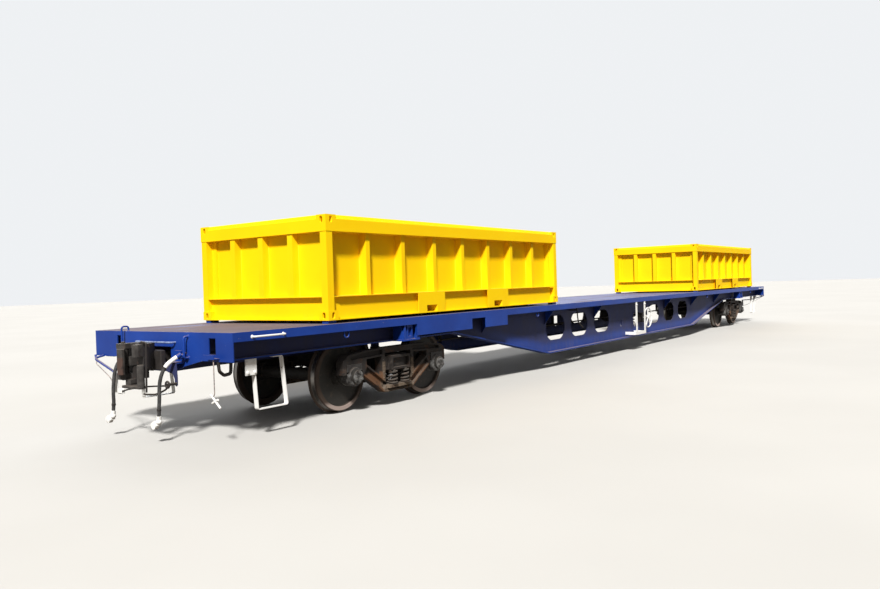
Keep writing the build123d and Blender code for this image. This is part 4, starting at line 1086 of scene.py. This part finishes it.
class WAGON_OT_springs(bpy.types.Operator):
    """Wind the coil springs of both bogies and set the friction wedges beside them."""
    bl_idname = "wagon.springs"
    bl_label = "Bogie springs"

    def execute(self, context):
        sizes = context.scene.wagon_sizes
        for end, sign in ends:
            centre = sign * bogie_x
            nests = [(centre + x, y, 0.0) for x, y in spring_spots]
            bar, radius, turns = sizes.spring_bar, sizes.spring_radius, sizes.spring_turns
            outer = coil_spring(bar, radius - bar, turns + outer_more)
            inner = coil_spring(inner_bar, inner_radius - inner_bar, turns + inner_more)
            seat = disc(seat_r, -0.001, seat_top, 28, (0, 0, spring_low), (0, 0, 1))
            shapes = [spread(shape, nests) for shape in (outer, inner, seat)]
            springs = piece(f"{end}_coil_springs", joined(shapes), f"{end}_bogie", "spring")
            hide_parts(f"{end}_bogie_springs")
            wedges = []
            for sx in (-1, 1):
                outline = [(centre + sx * x, z) for x, z in wedge_outline][::sx]
                wedges += [slab(outline, *sorted(sy * y for y in wedge_sides), (0, 2, 1)) for sy in (-1, 1)]
            piece(f"{end}_friction_wedges", joined(wedges), f"{end}_bogie", "cast",
                  smooth=False, bevel=0.003)
        return {"FINISHED"}


def coil_spring(bar, radius, turns):
    """A compression spring between the seats: its line goes round at an even rate and climbs at another, but
    slowly near its first and last points, so that both ends lie flat."""
    t = np.linspace(0.0, 1.0, int(ceil(turns * turn_points)))
    share = flat_turn / turns
    at_ends = (np.minimum(t, share) + np.maximum(t - 1 + share, 0.0)) / share * bar * flat_climb
    middle = np.clip((t - share) / (1 - 2 * share), 0.0, 1.0)
    height = spring_high - spring_low - 2 * bar - 2 * bar * flat_climb
    z = spring_low + bar + middle * height + at_ends
    angle = 2 * pi * turns * t
    path = np.stack([radius * np.cos(angle), radius * np.sin(angle), z], -1)
    return tube(path, bar, 8, (0.0, 0.0, 1.0))


def softened(node, name, body, kind, width, steps=2, cut=None):
    """A merged copy of a CAD node with rounded edges, which replaces it. A cut shape is taken away first."""
    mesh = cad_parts[node].data.copy()
    mesh.name = name
    work = bmesh.new()
    work.from_mesh(mesh)
    bmesh.ops.remove_doubles(work, verts=work.verts, dist=merge_distance)
    bmesh.ops.dissolve_limit(work, angle_limit=radians(dissolve_angle), verts=work.verts, edges=work.edges)
    work.to_mesh(mesh)
    work.free()
    if "custom_normal" in mesh.attributes:
        mesh.attributes.remove(mesh.attributes["custom_normal"])
    obj = linked(name, mesh)
    if cut is not None:
        take_away(obj, cut)
    obj.data.polygons.foreach_set("use_smooth", np.full(len(obj.data.polygons), True))
    obj.data.set_sharp_from_angle(angle=radians(casting_sharp))
    rounded(obj, width, steps, casting_round).harden_normals = True
    dress(obj, finish(kind))
    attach(obj, body)
    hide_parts(node)
    return obj


def take_away(obj, shape):
    """Cuts a shape out of an object's mesh."""
    knife = linked("knife", mesh_of("knife", shape))
    modifier = obj.modifiers.new("Cut", "BOOLEAN")
    modifier.operation = "DIFFERENCE"
    modifier.solver = "EXACT"
    modifier.object = knife
    bpy.context.view_layer.update()
    graph = bpy.context.evaluated_depsgraph_get()
    obj.data = bpy.data.meshes.new_from_object(obj.evaluated_get(graph))
    obj.modifiers.clear()
    bpy.data.objects.remove(knife)


class WAGON_OT_castings(bpy.types.Operator):
    """Round the castings' edges, cut the coupler heads' heels away and set columns and shelves there."""
    bl_idname = "wagon.castings"
    bl_label = "Castings"

    def execute(self, context):
        edge = context.scene.wagon_sizes.casting_edge
        column = [(0, column_low), (column_r, column_low), (column_r, column_top - 0.030),
                  (column_r * 0.96, column_top - 0.008), (column_r * 0.80, column_top), (0, column_top)]
        column = turned_shape(column, 24, column_place, (0, 0, 1))
        shelf = joined([slab(shelf_outline, shelf_low, shelf_high), column, box(*shelf_web)])
        for end, sign in ends:
            heel = [(sign * x, coupler_z + z) for x, z in head_heel][::-sign]
            cut = slab(heel, *sorted(sign * y for y in head_heel_side), (0, 2, 1))
            softened(f"{end}_coupler", f"{end}_coupler_casting", f"{end}_coupler_body",
                     "coupler", edge * edge_shares["coupler"], 3, cut)
            piece(f"{end}_coupler_shelf", at_end(shelf, sign), f"{end}_coupler_body",
                  "coupler", bevel=0.006)
            softened(f"{end}_knuckle", f"{end}_knuckle_casting", f"{end}_knuckle_body",
                     "coupler", edge * edge_shares["knuckle"], 3)
            for part in ("side_frames", "bolster", "brake_beams"):
                softened(f"{end}_bogie_{part}", f"{end}_{part}_casting", f"{end}_bogie",
                         "cast", edge * edge_shares[part])
            softened(f"{end}_bogie_bearings", f"{end}_bearing_castings", f"{end}_bogie",
                     "bearing", edge * edge_shares["bearings"], 3)
        return {"FINISHED"}


class WAGON_OT_bearing_ends(bpy.types.Operator):
    """Put a backing ring on each bearing cup, and a domed cover, locking plate and bolts on each end cap."""
    bl_idname = "wagon.bearing_ends"
    bl_label = "Bearing ends"

    def execute(self, context):
        for end, sign in ends:
            rings = []
            for spot, x in axles(sign):
                covers = []
                for side in (-1, 1):
                    axis = (0, side, 0)
                    rings.append(ring_shape(bearing_ring, 36, (x, side * bearing_out, axle_z), axis))
                    cover = turned_shape(cap_cover, 36, (x, side * cap_face, axle_z), axis)
                    plate_y = side * (cap_face + cap_plate_lift)
                    plate = disc(cap_plate_r, -0.001, 0.004, 3, (x, plate_y, axle_z), axis)
                    bolt_y = side * (cap_face + cap_bolt_lift)
                    spots = [(x + a, bolt_y, axle_z + b) for a, b in circle(3, cap_bolt_circle, pi / 2)]
                    covers += [cover, plate, spread(bolt(*cap_bolt, axis), spots)]
                piece(f"{end}_{spot}_cap_covers", joined(covers), f"{end}_{spot}_wheelset",
                      "bearing")
            piece(f"{end}_bearing_rings", joined(rings), f"{end}_bogie", "bearing")
        return {"FINISHED"}


def axles(sign):
    """The outer and the inner axle of the bogie at one end, each with its x."""
    spots = (("outer", sign), ("inner", -sign))
    return [(spot, sign * bogie_x + toward * half_wheelbase) for spot, toward in spots]


def circle(count, radius, first=0.0):
    """Places at even angles round a circle, from a first angle: radius times (cos a(j), sin a(j))."""
    angle = first + 2 * pi / count * np.arange(count)
    return radius * np.stack([np.cos(angle), np.sin(angle)], -1)


class WAGON_OT_grab_rails(bpy.types.Operator):
    """Bend the grab rails from round bar: white ones along the deck, pale and blue ones on the headstocks."""
    bl_idname = "wagon.grab_rails"
    bl_label = "Grab rails"

    def execute(self, context):
        edge = -half_width
        line = hoop(*[(x, edge, side_rail_z) for x in side_rail_x], (0, -rail_stand, 0))
        feet = spread(rivet(*side_rail_head, (0, -1, 0)), [line[0], line[-1]])
        rail = joined([bars([line], *side_rail_bar), feet])
        sides = piece("side_grab_rails", four_corners(rail), "root", "white")
        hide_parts("grab_rails")

        face = -half_deck
        stand = (-headstock_stand, 0, 0)
        level = bars([hoop(*[(face, y, level_rail_z) for y in level_rail_y], stand)], *headstock_bar)
        piece("level_grab_rails", both_ends(level), "root", "pale_highlight_rail")
        right = hoop(*[(face, right_rail_y, z) for z in right_rail_z], stand)
        low, high = left_rail_z
        away = face - headstock_stand
        back = face + left_rail_back
        left = [(face, left_rail_y, low), (away, left_rail_y, low), (away, left_rail_y, high),
                (back, left_rail_y, high), (back, left_rail_y, deck_top)]
        washers = spread(rivet(*headstock_head, (-1, 0, 0)), [right[0], right[-1], left[0]])
        foot = spread(rivet(*headstock_head, (0, 0, 1)), left[-1:])
        loops = joined([bars([right, left], *headstock_bar), washers, foot])
        piece("grab_loops", both_ends(loops), "root", "blue")
        return {"FINISHED"}


class WAGON_OT_lashing_rings(bpy.types.Operator):
    """Bend the lashing rings under the deck edge."""
    bl_idname = "wagon.lashing_rings"
    bl_label = "Lashing rings"

    def execute(self, context):
        lines = [hoop(*[(x + dx, lashing_y, deck_under) for dx in (-lashing_half, lashing_half)],
                      (0, 0, -lashing_drop)) for x in lashing_x]
        rings = piece("deck_lashing_rings", four_corners(bars(lines, *lashing_bar)), "root",
                      "blue")
        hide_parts("lashing_rings")
        return {"FINISHED"}


class WAGON_OT_uncoupling(bpy.types.Operator):
    """Build the uncoupling gear: bracket with its eye, cross bar, lever loop, white handle, stay and pull."""
    bl_idname = "wagon.uncoupling"
    bl_label = "Uncoupling gear"

    def execute(self, context):
        front, back = bracket_x - bracket_half, bracket_x + bracket_half
        outer, inner = bracket_shelf_y
        shelf = box((front, outer, bracket_top - 2 * bracket_half), (-half_deck, inner, bracket_top))
        bracket = joined([slab(bracket_outline[::-1], front, back, (1, 2, 0)), shelf])
        piece("uncoupling_brackets", both_ends(bracket), "root", "blue", smooth=False,
              bevel=0.003)

        pivot = disc(pivot_r, 0, pivot_length, 16, (bracket_x - 0.005, eye_y, eye_z), (-1, 0, 0))
        eye_line = [(loop_x, eye_y + a, eye_z + b) for a, b in circle(24, eye_r)]
        eye = tube(eye_line, eye_bar_r, 10, (1.0, 0.0, 0.0), closed=True)
        cross_line = [(cross_x, y, z) for y, z in ((-0.500, 0.650), (-0.440, 0.636), (-0.240, 0.622),
                                                   (0.020, 0.600), (0.300, 0.556), (0.490, 0.512))]
        loop_line = [(loop_x, -0.500, 0.640), (loop_x, -0.455, 0.600), (-11.890, -0.375, 0.562),
                     (-11.930, -0.330, 0.545), (-12.005, -0.285, 0.552), (-12.005, -0.245, 0.556)]
        gear = joined([pivot, eye, bars([cross_line], *cross_bar), bars([loop_line], *loop_bar)])
        levers = piece("uncoupling_levers", both_ends(gear), "root", "gear")
        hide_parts("uncoupling_gear")

        handle = box((-11.868, 0.508, 0.508), (-11.854, 0.562, 0.735))
        floor_and_cheeks = ((-11.885, -11.845, 0.512), (-11.885, -11.877, 0.560), (-11.853, -11.845, 0.560))
        fork = [box((x0, 0.395, 0.500), (x1, 0.470, z1)) for x0, x1, z1 in floor_and_cheeks]
        handles = both_ends(joined([handle] + fork))
        piece("uncoupling_handles", handles, "root", "white", smooth=False, bevel=0.003)

        diagonal = [(-11.668, 1.300, 0.872), (-11.700, 1.240, 0.852), (-11.730, 0.850, 0.742),
                    (-11.820, 0.620, 0.728), (-11.861, 0.535, 0.722)]
        braces = [[(-11.664, 1.318, 0.905), (-11.668, 1.300, 0.866)],
                  [(-11.672, 1.290, 0.870), (-11.664, 1.120, 0.905)]]
        stay = joined([bars([diagonal], *stay_bar), bars(braces, *brace_bar)])
        piece("uncoupling_stays", both_ends(stay), "root", "blue")

        thin_line = [(-11.672, 1.280, 0.862), (-11.730, 1.184, 0.805), (-11.730, 0.895, 0.655),
                     (-11.780, 0.700, 0.560), (-11.855, 0.500, 0.514)]
        pull_line = [(pull_x, pull_y, 0.925), (pull_x, pull_y, 0.545), (pull_x, -1.020, 0.530)]
        rods = joined([bars([thin_line], *thin_bar, 8), bars([pull_line], *pull_bar, 8)])
        piece("uncoupling_rods", both_ends(rods), "root", "galvanised")
        grip_lines = [[(pull_x, -0.993, 0.552), (pull_x, -1.150, 0.414)],
                      [(pull_x, -1.017, 0.461), (pull_x, -1.112, 0.505)]]
        grips = bars(grip_lines, *grip_bar)
        piece("uncoupling_grips", both_ends(grips), "root", "white")

        lug = box((-12.006, -0.262, 1.090), (-11.974, -0.180, 1.118))
        lifter_line = [(-12.005, -0.292, 0.574), (-11.990, -0.292, 1.112), (-11.990, -0.200, 1.122)]
        lifter = joined([lug, bars([lifter_line], *lifter_bar)])
        for end, sign in ends:
            piece(f"{end}_coupler_lifter", at_end(lifter, sign), f"{end}_coupler_body", "gear")
        return {"FINISHED"}


class WAGON_OT_pipework(bpy.types.Operator):
    """Bend the pipe behind each headstock and wind the hand brake's return spring on its rod."""
    bl_idname = "wagon.pipework"
    bl_label = "Pipes and return spring"

    def execute(self, context):
        pipe_line = [(pipe_x, y, z) for y, z in ((-0.780, 1.199), (-0.800, 0.900), (-0.826, 0.760),
                                                 (-0.905, 0.724), (-1.020, 0.750), (-1.030, 0.905))]
        pipe = bars([pipe_line], *pipe_bar, 14)
        piece("bent_pipe", both_ends(pipe), "root", "gear")
        x, y = return_spring_place
        low, high = return_spring_ends
        t = np.linspace(0.0, 1.0, 90)
        angle = 2 * pi * return_spring_turns * t
        path = np.stack([x + return_spring_r * np.cos(angle), y + return_spring_r * np.sin(angle),
                         low + (high - low) * t], -1)
        coil = tube(path, return_spring_bar, 8, (0.0, 0.0, 1.0))
        place = (x, y, 0.0)
        rod = disc(return_rod_r, low - 0.040, deck_top - 0.008, 12, place, (0, 0, 1))
        plates = [disc(return_plate_r, z, z + return_plate, 24, place, (0, 0, 1))
                  for z in (low - 0.017, high + 0.005)]
        piece("return_spring", joined([coil, rod] + plates), "root", "galvanised")
        return {"FINISHED"}


class WAGON_OT_fasteners(bpy.types.Operator):
    """Set bolts on the steps, the hand brake's bars and the brake cylinder, and rivets on the side frames."""
    bl_idname = "wagon.fasteners"
    bl_label = "Bolts and rivets"

    def execute(self, context):
        size = context.scene.wagon_sizes.bolt_radius
        spots = [(x, step_bolt_y, z) for x in step_bolt_x for z in step_bolt_z]
        steps = spread(bolt(size, step_bolt_height, (0, -1, 0)), spots)
        piece("step_bolts", four_corners(steps), "root", "white")
        spots = [(x + dx, brake_bolt_y, brake_bolt_z)
                 for x in brake_bar_x for dx in (-brake_bolt_half, brake_bolt_half)]
        brake_bolts = spread(bolt(size * brake_bolt_share, brake_bolt_height, (0, -1, 0)), spots)
        piece("hand_brake_bolts", brake_bolts, "root", "white")
        x, y, z = cylinder_cap
        spots = [(x, y + a, z + b) for a, b in circle(8, cylinder_bolt_circle, pi / 8)]
        cap_bolts = spread(bolt(*cylinder_bolt, (-1, 0, 0)), spots)
        piece("brake_cylinder_bolts", cap_bolts, "root", "gear")
        for end, sign in ends:
            rivets = [spread(rivet(*column_rivet, (0, side, 0)),
                             [(sign * bogie_x + dx, side * column_rivet_y, z)
                              for dx in (-column_rivet_x, column_rivet_x) for z in column_rivet_z])
                      for side in (-1, 1)]
            piece(f"{end}_column_rivets", joined(rivets), f"{end}_bogie", "cast")
        return {"FINISHED"}


class WAGON_OT_welds(bpy.types.Operator):
    """Lay the weld beads: along the bins' ribs and ledges, and where the girders' webs meet their flanges."""
    bl_idname = "wagon.welds"
    bl_label = "Weld beads"

    def execute(self, context):
        r = context.scene.wagon_sizes.weld_radius
        upright = tube([(0, 0, rib_foot), (0, 0, rib_head)], r, 6, (1, 0, 0))
        for end, centre in zip(("near", "far"), bin_centres):
            spots = []
            for k in range(-3, 4):
                for dx in (-side_rib_half, side_rib_half):
                    spots += [(centre + k * side_rib_pitch + dx, side * side_wall, 0) for side in (-1, 1)]
            for k in (-1, 0, 1):
                for dy in (-end_rib_half, end_rib_half):
                    spots += [(centre + side * end_wall, k * end_rib_pitch + dy, 0) for side in (-1, 1)]
            shapes = [spread(upright, spots)]
            for side in (-1, 1):
                for z in (rib_foot, rib_head):
                    y = side * side_wall
                    x = centre + side * end_wall
                    along_side = [(centre - side_wall_half, y, z), (centre + side_wall_half, y, z)]
                    along_end = [(x, -end_wall_half, z), (x, end_wall_half, z)]
                    shapes += [tube(line, r, 6, (0, 0, 1)) for line in (along_side, along_end)]
            piece(f"{end}_bin_welds", joined(shapes), "root", "weld")
        (knee_x, knee_z), (end_x, end_z) = belly_knee, belly_end
        line = [(-end_x, end_z), (-knee_x, knee_z), (knee_x, knee_z), (end_x, end_z)]
        beads = [tube([(x, side * y, z) for x, z in line], r, 6, (0, 1, 0))
                 for side in (-1, 1) for y in girder_weld_sides]
        piece("girder_welds", joined(beads), "root", "blue")
        return {"FINISHED"}


class WAGON_OT_finishes(bpy.types.Operator):
    """Give the CAD's nodes their finishes."""
    bl_idname = "wagon.finishes"
    bl_label = "Finishes"

    def execute(self, context):
        kinds = (
            ("blue", ("edge_channels", "main_girders", "girder_ends", "near_headstock", "far_headstock",
                      "centre_sills", "body_bolsters", "cross_bearers", "outriggers", "jacking_brackets",
                      "side_skirts", "container_locks", "air_pipes", "angle_cocks")),
            ("deck", ("deck_plates",)),
            ("white", ("sill_steps", "hand_brake_frame", "hand_brake_wheel", "glad_hands")),
            ("gear", ("hand_brake_gear", "brake_cylinder", "air_reservoir", "brake_rods")),
        )
        wanted = {node: kind for kind, nodes in kinds for node in nodes}
        for end, sign in ends:
            for part in ("base", "right_side", "left_side", "near_end", "far_end"):
                wanted[f"{end}_bin_{part}"] = "yellow"
            for spot, x in axles(sign):
                steel = wheelset_steel(f"{end}_{spot}_wheel_steel", x)
                for part in ("axle", "wheels"):
                    dress(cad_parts[f"{end}_{spot}_{part}"], steel)
        for name, kind in wanted.items():
            dress(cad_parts[name], finish(kind))
        return {"FINISHED"}


class WAGON_PT_panel(bpy.types.Panel):
    """The wagon's operators and settings."""
    bl_label = "Wagon"
    bl_idname = "WAGON_PT_panel"
    bl_space_type = "VIEW_3D"
    bl_region_type = "UI"
    bl_category = "Wagon"

    def draw(self, context):
        for operator in operators:
            self.layout.operator(operator.bl_idname)
        for group in (context.scene.wagon_sizes, context.scene.wagon_colours):
            for name in group.__annotations__:
                self.layout.prop(group, name)


operators = (
    WAGON_OT_stage, WAGON_OT_hoses, WAGON_OT_springs, WAGON_OT_castings, WAGON_OT_bearing_ends,
    WAGON_OT_grab_rails, WAGON_OT_lashing_rings, WAGON_OT_uncoupling, WAGON_OT_pipework, WAGON_OT_fasteners,
    WAGON_OT_welds, WAGON_OT_finishes,
)
classes = (WagonSizes, WagonColours) + operators + (WAGON_PT_panel,)


def register():
    for cls in classes:
        bpy.utils.register_class(cls)
    bpy.types.Scene.wagon_sizes = bpy.props.PointerProperty(type=WagonSizes)
    bpy.types.Scene.wagon_colours = bpy.props.PointerProperty(type=WagonColours)


def unregister():
    del bpy.types.Scene.wagon_colours
    del bpy.types.Scene.wagon_sizes
    for cls in reversed(classes):
        bpy.utils.unregister_class(cls)


def main():
    register()
    bpy.ops.wagon.stage()
    bpy.ops.wagon.hoses()
    bpy.ops.wagon.springs()
    bpy.ops.wagon.castings()
    bpy.ops.wagon.bearing_ends()
    bpy.ops.wagon.grab_rails()
    bpy.ops.wagon.lashing_rings()
    bpy.ops.wagon.uncoupling()
    bpy.ops.wagon.pipework()
    bpy.ops.wagon.fasteners()
    bpy.ops.wagon.welds()
    bpy.ops.wagon.finishes()


if __name__ == "__main__":
    main()
